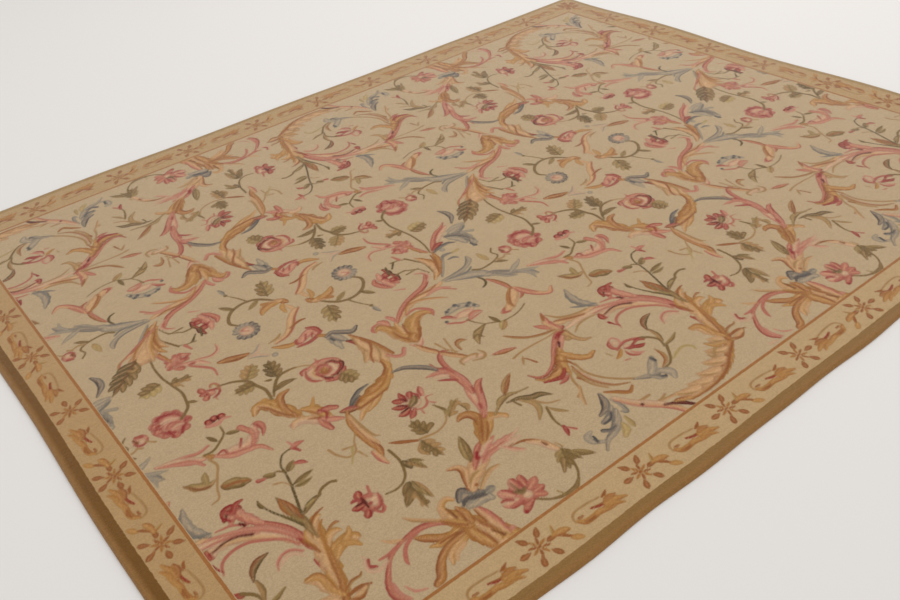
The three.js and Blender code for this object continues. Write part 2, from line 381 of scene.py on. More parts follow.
# Sprays of buds over the fan. Each bud is a few knots of rose and coral wool on a thin olive
# stalk, with small pointed leaves in olive and moss.
stem("olive", 0.7, (-113, -57.5), (-114.3, -56.2), (-116, -56.8), (-117.6, -56.3))
leaf("olive moss", (-115, -57), (-117.4, -55.4), 1.8)
ribbon("rose coral", (-117.4, -56.4, 0.8), (-118.8, -56, 1.4))
ribbon("coral", (-107.4, -52.2, 1.4), (-106, -51.7, 1.6), (-104.3, -51.9, 0.4))
ribbon("pink", (-107, -51.6, 0.8), (-107.4, -49.6, 0.6))
ribbon("rose", (-107.2, -52.6, 1), (-106.6, -54.2, 0.7))
leaf("olive moss", (-112.2, -58), (-109.4, -55.8), 2)
ribbon("rose coral", (-109.6, -56.9, 0.9), (-108.3, -57.5, 1.4), (-107.4, -58.6, 0.5))
leaf("olive moss", (-113.2, -62.4), (-107.4, -61.4), 1.6)
leaf("moss", (-113.4, -63.2), (-108.8, -63.2), 1.4, bend=-0.1)
stem("tan", 0.7, (-116.7, -59.3), (-114.8, -60.3), (-114, -62))

# The broad acanthus at the near left, with lobes of gold, peach and amber parted in rust.
# Rose tendrils run from it to the left, and a bud of slate and lilac sits at its right.
ribbon("gold peach", (-93.4, -90.6, 1.4), (-92.4, -95, 5), (-90.6, -99.6, 7.4), (-88.8, -103, 8.4),
       (-87.6, -107, 8))
ribbon("coral rose", (-93.2, -96, 0.9), (-96.2, -93.2, 1.5), (-99.6, -91.9, 1.7), (-103, -91.9, 1.1),
       (-106, -92.7, 1), (-108.8, -94, 1), (-111, -96.4, 1.2), (-112.9, -99.3, 1.6), (-113.4, -102.2, 1.9),
       (-112.3, -104.6, 1.4))
ribbon("pink", (-112, -99.5, 0.6), (-112.4, -102.4, 1), (-111.4, -105, 0.7))
ribbon("coral", (-99.7, -92.4, 0.7), (-102.9, -92.9, 0.9), (-105.2, -94.3, 1), (-106.6, -96.6, 1),
       (-106.9, -98, 0.4))
ribbon("coral", (-105.6, -92.4, 0.7), (-108.4, -93, 0.9), (-110.8, -92.9, 0.6))
ribbon("rose", (-112, -93.9, 0.6), (-113.3, -92.8, 1), (-112.5, -91.2, 0.7))
ribbon("blush", (-109.6, -94.2, 0.7), (-112.2, -95, 1), (-114, -93.4, 0.9), (-112.8, -90, 0.5))
ribbon("peach", (-107.6, -89.2, 0.5), (-106, -91, 1.1), (-104.4, -91.7, 0.6))
ribbon("peach tan", (-100.7, -87.2, 0.4), (-99.3, -89.3, 1.1), (-97.5, -91, 1), (-94.7, -93.6, 0.8))
ribbon("pink", (-110.7, -101.6, 0.4), (-109.7, -104, 0.7), (-107.6, -105.1, 0.5))
ribbon("blush", (-116, -104.8, 1.3), (-114, -105.2, 0.8))
ribbon("amber rust", (-102, -93.4, 0.7), (-100.3, -94.9, 2.2), (-97.6, -97, 2), (-94.6, -97.6, 1))
ribbon("gold", (-100.9, -97.4, 0.7), (-98.4, -98.3, 1.8), (-94.6, -97.8, 2.2), (-91, -97.6, 2.6))
ribbon("rust", (-98.8, -98, 0.6), (-96, -98, 0.8), (-92.4, -98.6, 0.8))
ribbon("gold peach", (-92, -99.2, 2.6), (-95.6, -100.4, 2.6), (-98.6, -101.6, 1.8), (-100, -103.9, 0.8))
ribbon("amber rust", (-91, -99, 1.2), (-94.6, -99.2, 1.5), (-98, -99.7, 1.7), (-100.6, -101, 1.9),
       (-102.4, -102.8, 2.2), (-103.9, -104.9, 2.2), (-105.6, -105.6, 1.5))
ribbon("peach", (-95, -101.4, 1.2), (-97.6, -102.2, 1.2), (-98.8, -103.8, 0.6))
ribbon("gold amber", (-91.4, -98, 3), (-92, -101, 3.4), (-91, -104.6, 3), (-90.4, -105.9, 1.6))
ribbon("gold peach", (-89.6, -98.6, 2), (-88.8, -101.6, 3), (-88.6, -104.8, 2.6))
ribbon("gold amber", (-94.9, -93.6, 1), (-93.2, -96, 2.4), (-91.2, -98.4, 2.2))
ribbon("rust", (-95, -93.8, 0.6), (-93.2, -96.2, 0.7), (-91.6, -98, 0.6))
ribbon("peach gold", (-92.8, -92.4, 1.4), (-92.6, -90.2, 1.6), (-90.6, -89.3, 1.6), (-89.5, -90.6, 0.9))
ribbon("sienna", (-92.2, -91.6, 0.5), (-92, -94.9, 0.8))
ribbon("amber rust", (-90.5, -92.6, 0.6), (-90, -95, 2.3), (-90.4, -97.8, 1.6))
ribbon("rust", (-89.4, -97.4, 0.6), (-88.6, -100.8, 1), (-86.8, -103, 1.3), (-85.5, -104.2, 0.6))
ribbon("coral peach", (-87.2, -96, 1.8), (-86.8, -99, 2.8), (-86.4, -102.6, 2.2), (-86.2, -105.6, 0.7))
ribbon("rust", (-87.9, -96, 0.5), (-88, -100, 0.7))
ribbon("rust", (-91, -100, 0.5), (-90.2, -103, 0.7), (-90, -105.8, 0.6))
ribbon("sienna", (-88.6, -102.6, 0.6), (-87.4, -105.2, 0.8))
spot("pink", -85, -105, 1.4)
spot("slate", -86.9, -91.6, 3.8)
spot("slate lilac", -84.2, -94.2, 4)
spot("lilac", -86.8, -94.2, 2.6)
spot("lilac", -81.6, -93.7, 2.2)
ribbon("navy slate", (-89, -91.9, 1), (-87.8, -90.4, 1.6), (-86.6, -89.6, 1.6), (-85.4, -91, 1.4),
       (-83.4, -92.6, 1))
ribbon("lilac", (-88, -94.4, 1.6), (-86, -94.8, 2.2), (-83.8, -94.6, 2.6), (-82.8, -95.8, 1.6))
ribbon("navy", (-88.9, -93.4, 0.7), (-87.3, -92.4, 1.1), (-85.6, -93.2, 1.2), (-83.4, -94, 1.1),
       (-82.4, -94.1, 0.6))
ribbon("slate lilac", (-82.6, -93.9, 1), (-81, -93.7, 1.6))

# The rose frond between the bud and the gold hook: long blades of blush, pink and coral
# that part from one root, with lobed olive leaves below its right end.
ribbon("peach", (-84.4, -91, 2.4), (-81.6, -88, 5), (-78, -85.8, 5), (-74, -83, 3), (-71.4, -81.6, 1.2))
ribbon("pink blush", (-79, -86, 2), (-74, -84.8, 3), (-69, -84.6, 2.6), (-66, -84.4, 1))
ribbon("rust peach", (-85, -90.6, 0.9), (-83.7, -88, 1.8), (-82.5, -85.6, 2.2), (-83, -83.8, 1.8),
       (-85, -82.9, 0.8))
ribbon("tan", (-83.8, -89.4, 0.6), (-81.8, -88.1, 0.9), (-80, -87.8, 0.6))
ribbon("tan peach", (-82.9, -92.2, 0.7), (-80.5, -90.6, 1.2), (-77.7, -89.4, 1.3), (-75.4, -89.5, 0.6))
spot("rust", -83, -90.7, 0.9)
ribbon("coral rose", (-80.2, -86.8, 0.8), (-77.7, -84.3, 2), (-75.6, -82.2, 1.6), (-74, -81.2, 0.8))
ribbon("crimson", (-77.8, -84.6, 0.9), (-76.6, -83.2, 0.9))
ribbon("coral pink", (-76.8, -85.7, 0.7), (-74, -83.8, 1.2), (-70.4, -81.8, 0.7))
ribbon("blush pink", (-76, -84.4, 1.6), (-73, -82.8, 1.4), (-71.4, -82.6, 0.6))
ribbon("coral pink blush", (-77.4, -86.6, 0.9), (-74.5, -85.5, 1.5), (-71, -85.2, 1.3), (-67.7, -84.6, 0.9),
       (-64.4, -83.8, 0.5))
ribbon("blush", (-71.6, -85.6, 1), (-68, -86.2, 1.2), (-65.6, -85.8, 0.5))
ribbon("pink blush", (-71.2, -86, 0.8), (-69.5, -88.6, 1.5), (-67.9, -89.9, 0.7))
ribbon("rust", (-69.8, -86.9, 0.4), (-66.8, -87.5, 0.8), (-65, -88.7, 0.9), (-63.6, -90, 0.6))
ribbon("peach blush", (-66, -88.6, 0.9), (-63.9, -90.8, 2), (-63, -93.4, 2), (-62.2, -95.4, 1.2))
ribbon("sienna", (-63.6, -91, 0.5), (-63.3, -92.2, 0.8))
ribbon("tan", (-61.4, -93, 0.4), (-61, -95.2, 0.5))
leaf("olive moss", (-61.6, -95.4), (-64.6, -101.4), 3.8, lobes=2)
ribbon("olive", (-63.8, -98.4, 2), (-66.2, -101.2, 0.6))
leaf("moss olive", (-61.4, -97.2), (-56.8, -101.8), 2)
leaf("moss olive", (-61.5, -97), (-60.3, -101), 1.5)
stem("olive", 0.9, (-61.8, -97), (-62.6, -100), (-63.6, -102.6), (-65.5, -104.8))
ribbon("olive", (-65.3, -104.6, 0.7), (-67.7, -106, 1.4), (-71.4, -105.8, 0.9), (-74, -104.6, 0.7),
       (-75.8, -102.8, 0.7))
ribbon("moss", (-70.6, -105.4, 0.6), (-71.2, -104, 0.4))

# The peony beside the blue bud, of pink and coral petals round a blush heart. A line of rose
# parts each petal from the next.
spot("pink coral", -77, -99.4, 7)
ribbon("coral rose", (-75.2, -98.4, 1.4), (-74.8, -96.4, 2.2), (-74.4, -95.2, 1))
ribbon("coral", (-75, -99.4, 1.6), (-73.4, -98.6, 2.4), (-72.2, -98, 1.2))
ribbon("coral rose", (-75.4, -101, 1.4), (-73.6, -100.8, 2.2), (-72.4, -100.8, 1))
ribbon("coral", (-75.4, -101.4, 1.2), (-74, -102.4, 1.9), (-73.4, -103, 0.8))
ribbon("pink coral", (-77.3, -98, 1.4), (-77, -96, 2.4), (-76.6, -94.9, 1.2))
ribbon("rose", (-76, -94.9, 0.5), (-75.7, -96.4, 0.7), (-75.9, -98, 0.6))
ribbon("pink", (-79, -98.6, 1.8), (-80.3, -97, 2.7), (-80.9, -96.1, 1.2))
ribbon("rose", (-79.9, -95.8, 0.5), (-78.9, -97, 0.8), (-78.4, -98.6, 0.6))
ribbon("pink blush", (-79.4, -100.2, 1.6), (-81.2, -99.8, 2.6), (-82.1, -99.4, 1.4))
ribbon("rose", (-82.3, -98.3, 0.5), (-81.2, -98.4, 0.9), (-80, -99.5, 0.7))
ribbon("rose coral", (-78.6, -101, 1), (-80.4, -101, 1.5), (-81.6, -100.9, 0.7))
ribbon("rose coral", (-76.8, -102.3, 0.9), (-78.6, -103, 1.9), (-79.9, -103.7, 1.5))
spot("crimson", -79.9, -103.8, 0.9)
spot("blush", -76.5, -100.4, 2.3)
ribbon("forest", (-77.3, -95.4, 0.3), (-77.3, -97.4, 0.5), (-77.2, -99, 0.8))
ribbon("forest olive", (-78.3, -98, 0.6), (-77, -99, 1.4), (-75.7, -98.6, 0.6))

# The gold hook, edged in amber and rust, and the rose trunk above it, in bands of pink,
# coral and rose.
ribbon("gold peach", (-73.6, -81.6, 1.6), (-71, -78.4, 4.4), (-68.6, -76, 4.6), (-66, -76.4, 2.6),
       (-64.2, -78, 1.6))
ribbon("amber rust", (-73.3, -72.2, 0.8), (-71.8, -71.5, 2), (-70, -72.2, 2.6), (-69.2, -74.4, 2.6),
       (-69.8, -77, 2.4))
ribbon("gold amber", (-69, -75.4, 2.4), (-70.4, -78, 3), (-72.2, -80, 2.4), (-73.8, -81.6, 1.2))
ribbon("gold", (-73, -81.7, 0.8), (-70, -79.6, 1.8), (-68, -77.4, 2.2), (-66.8, -75.8, 1.8))
ribbon("gold peach", (-67.4, -76.6, 1.2), (-65.4, -76.9, 1.6), (-63.7, -78.4, 1.4), (-63.9, -79.3, 0.6))
ribbon("rust", (-73.2, -81.2, 0.5), (-71, -78.4, 0.8), (-69.2, -76, 0.7), (-68, -73.8, 0.5))
ribbon("rust", (-72.4, -81.6, 0.5), (-70.2, -79.6, 0.7), (-68.4, -77.2, 0.5))
ribbon("pink blush", (-67.6, -75, 0.8), (-66, -71, 1.8), (-65.2, -67.6, 2.2), (-64.6, -64.6, 1.2))
ribbon("coral rose", (-67.8, -75.4, 1), (-65.6, -72.4, 2), (-63.8, -69.4, 2), (-62.4, -66.6, 2.2),
       (-60.8, -64.8, 1.6), (-59.3, -64.3, 0.5))
ribbon("pink", (-66.8, -75, 0.6), (-64.8, -71.8, 0.8), (-63.2, -68.8, 0.8))
ribbon("rose", (-66.2, -72.6, 0.6), (-65.8, -71.2, 0.9))
ribbon("coral rose", (-64.2, -66.6, 1.4), (-63.4, -62.6, 2.6), (-63.4, -59, 2.8), (-64, -56, 2.6),
       (-65.4, -53.4, 1.2), (-65.4, -50.6, 0.4))
ribbon("pink", (-62.9, -64.4, 0.7), (-62.6, -60, 0.9), (-63, -56, 0.8))
ribbon("rose coral", (-62.9, -57.4, 1), (-62.9, -53.6, 1.6), (-62, -50.6, 1.6), (-60.3, -49.1, 1.4),
       (-58.9, -49.6, 0.7))
ribbon("pink coral", (-69.3, -54.3, 0.5), (-66.8, -54.8, 1.5), (-64.6, -56, 1.2))
ribbon("blush", (-68.4, -55.6, 0.6), (-66.4, -56.4, 1.4), (-64.8, -57.4, 1))
ribbon("rose", (-67.8, -57.4, 0.5), (-65.8, -58.8, 1), (-64.2, -60.4, 0.8))

# Sprigs on both sides of the trunk, with leaves of olive, moss and tan wool on thin stalks
# and a few rose buds.
ribbon("moss olive", (-65.5, -76.6, 0.6), (-63.2, -75.2, 0.9), (-61.2, -73.8, 2), (-58.6, -73.5, 1.5),
       (-56.2, -74.3, 0.7), (-53.2, -74.8, 0.5))
leaf("tan rust", (-59.2, -73), (-52.7, -67.6), 2.1, bend=0.06, rib="sienna")
ribbon("forest", (-60.6, -75.5, 0.5), (-57.4, -76.2, 1.3), (-55, -78, 2), (-52.7, -78.7, 1.8),
       (-50.5, -80.8, 0.4))
ribbon("olive", (-59.2, -76.2, 0.6), (-58.8, -78.4, 0.7))
ribbon("moss tan", (-57.8, -76.8, 0.6), (-56, -80, 1.6), (-56.5, -82.6, 1.6), (-58.9, -85.2, 0.5))
stem("tan", 0.9, (-55.7, -78.8), (-54.8, -80.6), (-53.4, -82.4), (-50.8, -83.5))
stem("olive", 0.9, (-54.8, -83.2), (-56, -86), (-56.6, -88.2), (-56.6, -90.4))
ribbon("crimson rose", (-56.3, -90.6, 0.9), (-56.7, -92, 1.3), (-57.5, -93.6, 0.6))
ribbon("rose pink", (-56, -91.4, 0.6), (-54.8, -93.3, 0.8))
ribbon("moss tan", (-54.6, -83.6, 0.5), (-53.6, -85.6, 1.1), (-52, -87.6, 0.6))
stem("tan", 0.8, (-83.6, -70.7), (-80, -71.5), (-77.5, -71.2), (-75, -69.8), (-73.6, -67.2))
leaf("olive", (-81, -70.4), (-81.7, -64.2), 3.6, lobes=2)
ribbon("olive", (-80.4, -69.6, 1), (-78.8, -68.6, 1.7))
leaf("tan olive", (-83.8, -71.2), (-82.6, -78.8), 3.8, lobes=2)
ribbon("olive tan", (-84.2, -71.8, 0.7), (-85.6, -73.8, 1.6), (-85, -76, 0.8))
leaf("moss tan", (-73.9, -69.6), (-68.2, -65.8), 3.2, bend=0.06, lobes=1, rib="olive")
ribbon("tan olive", (-69.2, -68, 0.9), (-68.5, -69.4, 1.8), (-69.2, -71, 0.6))
ribbon("olive", (-74.2, -63.6, 0.5), (-73.2, -66.6, 1))
leaf("moss olive", (-79.4, -84.4), (-76.4, -76.2), 2.7)
ribbon("rust", (-89.7, -66.8, 0.5), (-87.6, -68.4, 1.2), (-84.3, -70.7, 0.8))
stem("olive", 0.9, (-91.2, -68.6), (-91.2, -73), (-92.4, -76.6), (-94, -78.6), (-96.6, -79.6), (-99.4, -79.2))
ribbon("forest", (-91, -74, 1.2), (-90.4, -75.4, 1.9), (-90.6, -76.6, 0.8))
leaf("moss tan", (-89.9, -74.2), (-87.8, -79.3), 1.7)
leaf("moss", (-89.4, -74.2), (-86.9, -76.9), 1.1)
leaf("forest olive", (-93.4, -79.8), (-97, -82.6), 2.1)
leaf("olive", (-94, -81.6), (-98.3, -85.4), 2.4)
leaf("olive tan", (-94, -82.6), (-94.8, -88.6), 2.6, lobes=1)
leaf("tan moss", (-93, -80), (-92.1, -87.2), 2)

# The red flower between two sprays. Its back petals are crimson and wine, its front ones
# coral and blush.
spot("coral", -103.4, -78.8, 5.8)
spot("blush", -102.2, -78.7, 3.8)
ribbon("rose crimson", (-104.4, -76.8, 0.9), (-104.4, -75.4, 2.2), (-103.9, -74.6, 1.4))
ribbon("rose", (-104.8, -76.6, 0.5), (-106, -76, 1), (-106.8, -76.2, 0.4))
ribbon("crimson rose", (-104.9, -78.4, 0.9), (-106.4, -78.3, 1.9), (-107.3, -78, 0.9))
ribbon("crimson rose", (-104.9, -80.2, 0.8), (-105.6, -81.2, 2), (-106, -81.8, 1.2))
ribbon("wine", (-104.3, -76.4, 0.5), (-104.2, -77.8, 0.8), (-104.4, -79.6, 0.6))
ribbon("wine", (-106.3, -77.6, 0.5), (-104.6, -77.7, 0.6))
spot("rose", -103.5, -79, 1.1)
ribbon("coral", (-103.6, -76.2, 0.4), (-102.3, -77.4, 0.8), (-101.8, -76, 0.8), (-101.2, -74.3, 0.7))
ribbon("coral rose", (-103.7, -80.7, 0.5), (-102.4, -81, 0.8), (-101.3, -79.6, 1), (-100.6, -77.5, 0.5))
ribbon("rose coral", (-103.9, -81.6, 0.5), (-102.9, -82.7, 0.9), (-101.9, -82, 1), (-101.6, -80.9, 0.6))

# The rose in profile, in pink and rose, and the plumed leaf of slate and navy. Below them
# runs the long acanthus of gold, peach and amber.
ribbon("amber gold", (-92, -15.4, 0.7), (-89.6, -17.2, 1.9), (-87.3, -18.1, 1.7), (-85.4, -17.4, 0.9))
ribbon("pink", (-86, -19.2, 1.4), (-83.4, -17.6, 2.8), (-80.8, -16.4, 2.6), (-80, -18.4, 1.6))
ribbon("crimson rose", (-80.8, -14.4, 0.8), (-79.2, -16.2, 1.8), (-78.8, -18.6, 1.2))
ribbon("rose", (-87, -20.1, 0.6), (-83.6, -20.5, 1.2), (-80.8, -19.8, 1.3), (-78.4, -18.6, 0.8))
ribbon("rose", (-85.6, -17, 0.6), (-86.4, -18.6, 0.9), (-85.2, -19.2, 0.5))
ribbon("rose", (-83.8, -19, 0.5), (-82.4, -16.8, 0.6))
ribbon("rose", (-81.8, -19, 0.5), (-80.6, -17.4, 0.6))
ribbon("amber", (-80, -20, 1.2), (-78.2, -21.6, 1.6))
ribbon("lilac", (-78.4, -21.8, 1.6), (-78.1, -25, 3), (-78.2, -29, 1.2))
ribbon("lilac slate", (-77.4, -21.8, 2), (-76.6, -24.6, 2.6), (-75.4, -27.4, 0.8))
ribbon("slate navy", (-79, -21.8, 0.9), (-76.8, -21.2, 1.6), (-74.8, -22.8, 1.9), (-72.4, -24.7, 1.9),
       (-70.2, -23.6, 0.9))
ribbon("navy", (-78.4, -23.3, 0.8), (-78.1, -24.7, 0.8))
ribbon("wine crimson", (-75.8, -27.4, 0.8), (-74.6, -28.8, 1.7), (-74.7, -30.4, 0.7))
ribbon("peach", (-73.8, -26.4, 0.8), (-73.6, -31, 3), (-73.4, -35.6, 6), (-73, -39, 5.4), (-72.8, -42, 2))
ribbon("peach tan", (-74.6, -34.6, 1.4), (-76, -37, 1.6), (-77.2, -38.4, 0.6))
ribbon("rust amber", (-73.9, -25.6, 0.7), (-72.3, -29.4, 1.1), (-71, -33, 1.2), (-70.2, -37, 1.2),
       (-69.7, -40.3, 1))
ribbon("coral pink", (-71.2, -39.8, 0.8), (-70, -41.9, 1.3), (-68.2, -42.7, 1.4), (-66.4, -40.8, 1.3))
ribbon("rust", (-72.6, -29.4, 0.5), (-71.8, -32.4, 0.8), (-73, -35, 0.8), (-74.6, -37.2, 0.7),
       (-75.6, -40, 0.4))
ribbon("tan", (-73.9, -27.4, 0.5), (-74.6, -31, 0.6), (-74.2, -35, 0.5))
ribbon("tan", (-71.4, -34, 0.5), (-72, -37.6, 0.8), (-73.6, -40, 0.6))
ribbon("gold amber", (-73.4, -40.2, 0.8), (-73.6, -43, 2.4), (-75, -45.6, 3), (-78, -47.8, 4.6),
       (-82, -49.6, 5.6), (-86, -51, 4.6), (-90, -50.8, 2))
ribbon("rust", (-73.9, -40.6, 0.5), (-74.6, -43.6, 0.8), (-76.6, -45.6, 0.8))
ribbon("slate navy", (-81.6, -45.9, 0.5), (-84.6, -46.4, 1.3), (-87.4, -48, 1.3), (-89.4, -49.8, 1))
ribbon("sienna navy", (-85.6, -48.2, 0.7), (-87.4, -49.3, 1.5), (-89.4, -50.6, 1.6))
ribbon("rose sienna", (-92.3, -49.8, 0.9), (-90.3, -50.6, 2.4), (-88.4, -51.4, 1.2))
ribbon("gold peach", (-81.2, -51.2, 1.2), (-84.2, -52.8, 2), (-87, -54.2, 0.9))
ribbon("gold peach", (-84.8, -52, 1.2), (-87.8, -53.4, 1.8), (-90.2, -55.6, 0.7))
ribbon("amber", (-74.4, -44.6, 0.5), (-76.8, -47, 0.8), (-79.6, -48.9, 0.9), (-83, -49.6, 0.7),
       (-86, -48.8, 0.4))
ribbon("rust", (-79, -50.6, 0.4), (-82.6, -51.4, 0.8), (-87.6, -52, 0.8))
ribbon("rust amber", (-91.2, -51, 1), (-92.7, -54.4, 1.7), (-93.2, -59, 1.7), (-92.9, -63.6, 1.9),
       (-92.5, -66.6, 1.9), (-93.3, -69.4, 0.7))
ribbon("peach", (-91.6, -52.6, 0.9), (-91.9, -57, 1.4), (-92, -61.6, 1.3), (-91.4, -65, 0.8))
ribbon("tan", (-91.2, -52.5, 0.6), (-91.3, -58, 0.9), (-90.9, -61.8, 0.8), (-89.8, -63.2, 0.4))
ribbon("peach coral", (-94.2, -66.6, 1.2), (-94, -69.4, 1.8), (-93.6, -71.8, 0.8))
ribbon("slate navy", (-74.2, -46.5, 0.8), (-71.4, -47.1, 1.5), (-69, -49, 1.8), (-66.9, -51.2, 1.8),
       (-65.5, -53.8, 1))

# The red daisy under the blue arc: petals of rose and crimson wool, lined in wine, round a
# small olive heart.
spot("blush", -77.2, -59.4, 4.2)
ribbon("rose crimson", (-78.4, -57.6, 0.8), (-79.9, -56.6, 2), (-80.6, -56, 1.2))
ribbon("rose crimson", (-78.1, -57.6, 0.9), (-78.3, -56, 1.8), (-78, -54.2, 0.4))
ribbon("rose crimson", (-76.8, -57.6, 0.8), (-76.2, -56.4, 2), (-75.8, -55.9, 1.2))
ribbon("crimson rose", (-79, -59.4, 0.8), (-80.7, -58.8, 2), (-82.2, -57.8, 0.8))
ribbon("crimson coral", (-79, -60.5, 1), (-81, -61.2, 2.2), (-82.4, -61, 0.9))
ribbon("rose", (-78.4, -61.6, 0.9), (-79.8, -62.9, 1.8), (-80.9, -63.6, 0.6))
ribbon("rose", (-75.2, -59.2, 0.5), (-75, -57.8, 1), (-75.4, -56.6, 0.5))
ribbon("pink", (-73.8, -58.8, 0.9), (-73.3, -57, 1.7), (-72.8, -55.8, 0.6))
ribbon("rose", (-74.3, -58.8, 0.4), (-73.9, -57, 0.7), (-72.9, -55.6, 0.5))
ribbon("coral", (-78.3, -62, 0.5), (-76.4, -62.7, 0.7), (-74.6, -61.8, 0.7), (-73.8, -60, 0.5),
       (-72, -60.3, 0.4))
ribbon("coral", (-77.3, -62.6, 0.5), (-77.5, -64.4, 0.5))
ribbon("coral", (-74.6, -61.4, 0.5), (-73.2, -63.3, 0.5))
ribbon("wine", (-80.8, -57.9, 0.4), (-79.3, -59.2, 0.7))
ribbon("wine", (-81.6, -60.5, 0.5), (-79.2, -60.2, 0.7))
ribbon("wine", (-78.6, -56.4, 0.5), (-78.2, -57.8, 0.6))
ribbon("olive forest", (-78.4, -60, 1.2), (-77, -59.2, 2.2), (-75.9, -58.2, 1.4))

# The full rose. Its petals are coral, pink and blush, folded round an amber heart and
# shadowed in wine, and a lobed olive leaf grows below it.
spot("peach", -86.8, -33.4, 8)
ribbon("coral pink", (-90.4, -30.4, 0.9), (-87.4, -29.6, 1.6), (-84.6, -30, 1.8), (-82.5, -31.4, 1.6),
       (-81.7, -33, 1.1))
ribbon("coral", (-86.3, -29.4, 0.9), (-86.2, -27.6, 0.4))
ribbon("rose coral", (-92.2, -31.2, 0.7), (-91.6, -29.9, 1), (-89.8, -29.5, 0.7))
ribbon("rose coral", (-90.9, -30.6, 0.6), (-91.7, -33, 1), (-91.2, -35.2, 0.9), (-89.6, -36.4, 0.6))
ribbon("blush peach", (-88.4, -36.2, 1.4), (-90, -34.2, 1.6), (-90.2, -32, 1.5), (-88.8, -30.9, 1))
ribbon("coral rose", (-88.6, -37.6, 0.8), (-86.4, -38.3, 1.5), (-84, -37.8, 1.5), (-82.2, -36, 1.1))
ribbon("blush", (-84.6, -32, 1.2), (-83.9, -33.4, 2), (-84.4, -35, 1.6))
ribbon("pink blush", (-85.2, -35.8, 1.8), (-87.6, -36, 1.6))
ribbon("coral", (-86.6, -31.8, 0.8), (-88.4, -32.6, 1.1), (-88.4, -34.4, 1.1), (-86.8, -35, 1.1),
       (-85.2, -34, 1.1), (-85.4, -32.2, 0.9), (-86.6, -31.8, 0.7))
ribbon("amber rust", (-86.4, -32.6, 0.8), (-87.4, -33.2, 1.1), (-86.9, -34, 1.1), (-86.2, -33.2, 0.8))
ribbon("rust", (-88.4, -33.4, 0.4), (-86.9, -34.7, 0.7), (-85.2, -33.6, 0.4))
ribbon("rose", (-88.6, -32, 0.5), (-86.8, -31, 0.8), (-85, -31.8, 0.5))
ribbon("rose", (-89.2, -33.4, 0.6), (-88.6, -35.2, 0.6))
ribbon("wine crimson", (-84.9, -31.1, 0.5), (-83.3, -31.6, 1.1), (-82.7, -32.9, 1), (-81.8, -33.7, 1.5),
       (-82.5, -35.2, 1.3), (-83.8, -36.1, 1.1), (-85.4, -36.8, 1), (-86.2, -36.4, 0.5))
ribbon("wine crimson", (-88.5, -35, 0.4), (-88, -36.6, 1.2), (-86.8, -37.4, 0.9))
leaf("moss olive", (-84.3, -37.6), (-82.2, -42.6), 4.4, lobes=2, rib="olive")
stem("tan", 0.8, (-95, -26.9), (-92.3, -27), (-89.6, -28.1), (-88, -29.6))

# The gold and peach acanthus under the great branch, and the branch's own bands of peach,
# coral and rust.
ribbon("gold peach", (-66, -29, 2), (-64.4, -32.6, 4.4), (-63, -37, 5.6), (-62, -40.4, 2.6))
ribbon("gold peach", (-62.4, -38.4, 4), (-59.6, -34.6, 5.4), (-56, -32, 4.2), (-52.6, -32, 2.4))
ribbon("peach", (-60.6, -30.4, 1.2), (-57, -27.6, 3), (-52, -25.6, 3), (-46.6, -25, 3), (-41, -24.2, 1.6))
ribbon("coral rose", (-61.6, -31, 0.6), (-58.6, -27.9, 1.5), (-55, -25.3, 1.7), (-51.2, -23.6, 1.7),
       (-46.8, -22.4, 2), (-44, -20.6, 1.8), (-42.2, -18, 1))
ribbon("amber peach", (-57.4, -29.8, 0.6), (-55.2, -26.9, 1.2), (-52.4, -26.3, 1.2), (-49.4, -27.2, 1.1),
       (-46, -29.4, 0.9), (-44, -31.2, 0.4))
ribbon("rust", (-54, -25, 0.4), (-49, -24.5, 0.7), (-45.6, -24.7, 0.7), (-42.6, -23.8, 0.4))
ribbon("pink", (-47.6, -26.4, 0.6), (-43.8, -25.6, 1.6), (-40.4, -27.6, 0.6))
ribbon("coral", (-42.2, -26.8, 0.5), (-39.8, -29.6, 0.7))
ribbon("gold amber", (-62, -40.4, 2.4), (-62.8, -37.6, 4), (-64, -34.4, 3.4), (-64.6, -31, 2.8),
       (-65.8, -28.9, 2.4), (-67.7, -29.5, 1))
ribbon("gold amber", (-61.4, -40, 2.4), (-59.8, -37, 3.8), (-58.4, -34.2, 4), (-56.6, -32.4, 3.2),
       (-54.4, -31.6, 2.8), (-52.2, -32.4, 2.2), (-51.6, -33.8, 1.2))
ribbon("coral", (-68, -30, 0.6), (-68.3, -28.8, 1), (-67, -27.4, 0.9), (-65.2, -27.3, 0.6))
ribbon("coral pink", (-64.8, -26.8, 1.3), (-63.8, -28, 2.2), (-63.4, -29.8, 0.8))
ribbon("coral pink", (-61.9, -26.5, 1.2), (-61.2, -28.2, 1.5), (-61.4, -30, 0.6))
ribbon("coral", (-57.6, -29.8, 0.5), (-55.4, -29, 0.9), (-53.4, -29.2, 1), (-51.6, -31.2, 1.2),
       (-51, -33, 1.2), (-52, -35, 0.5))
ribbon("amber", (-61, -38, 1.8), (-62, -39, 3.2), (-62, -40.4, 1.6))
ribbon("rust", (-64.5, -33, 0.5), (-64.3, -36, 0.8), (-63.2, -38.6, 0.7))
ribbon("rust", (-60.5, -32, 0.5), (-61.6, -35, 0.8), (-61.4, -37, 0.6))
ribbon("rust", (-58.5, -36.8, 0.7), (-59.6, -39, 0.8), (-61.2, -40.6, 0.6))
ribbon("peach gold", (-61.9, -30.6, 1), (-62.4, -33.4, 1.8), (-62.6, -36, 0.8))
ribbon("blush pink", (-64.3, -40.7, 0.6), (-62.6, -42.6, 1.7), (-60.4, -40.7, 0.6))
ribbon("rust peach", (-63.5, -42, 0.9), (-62.6, -45, 1.9), (-61.1, -48, 1.6))
ribbon("rust peach", (-60.3, -49.6, 1.4), (-58.6, -52.2, 1.9), (-56.8, -54.8, 1.4))
ribbon("blush", (-59, -56, 1.4), (-56, -56, 1.7), (-53.4, -57.2, 1.5))
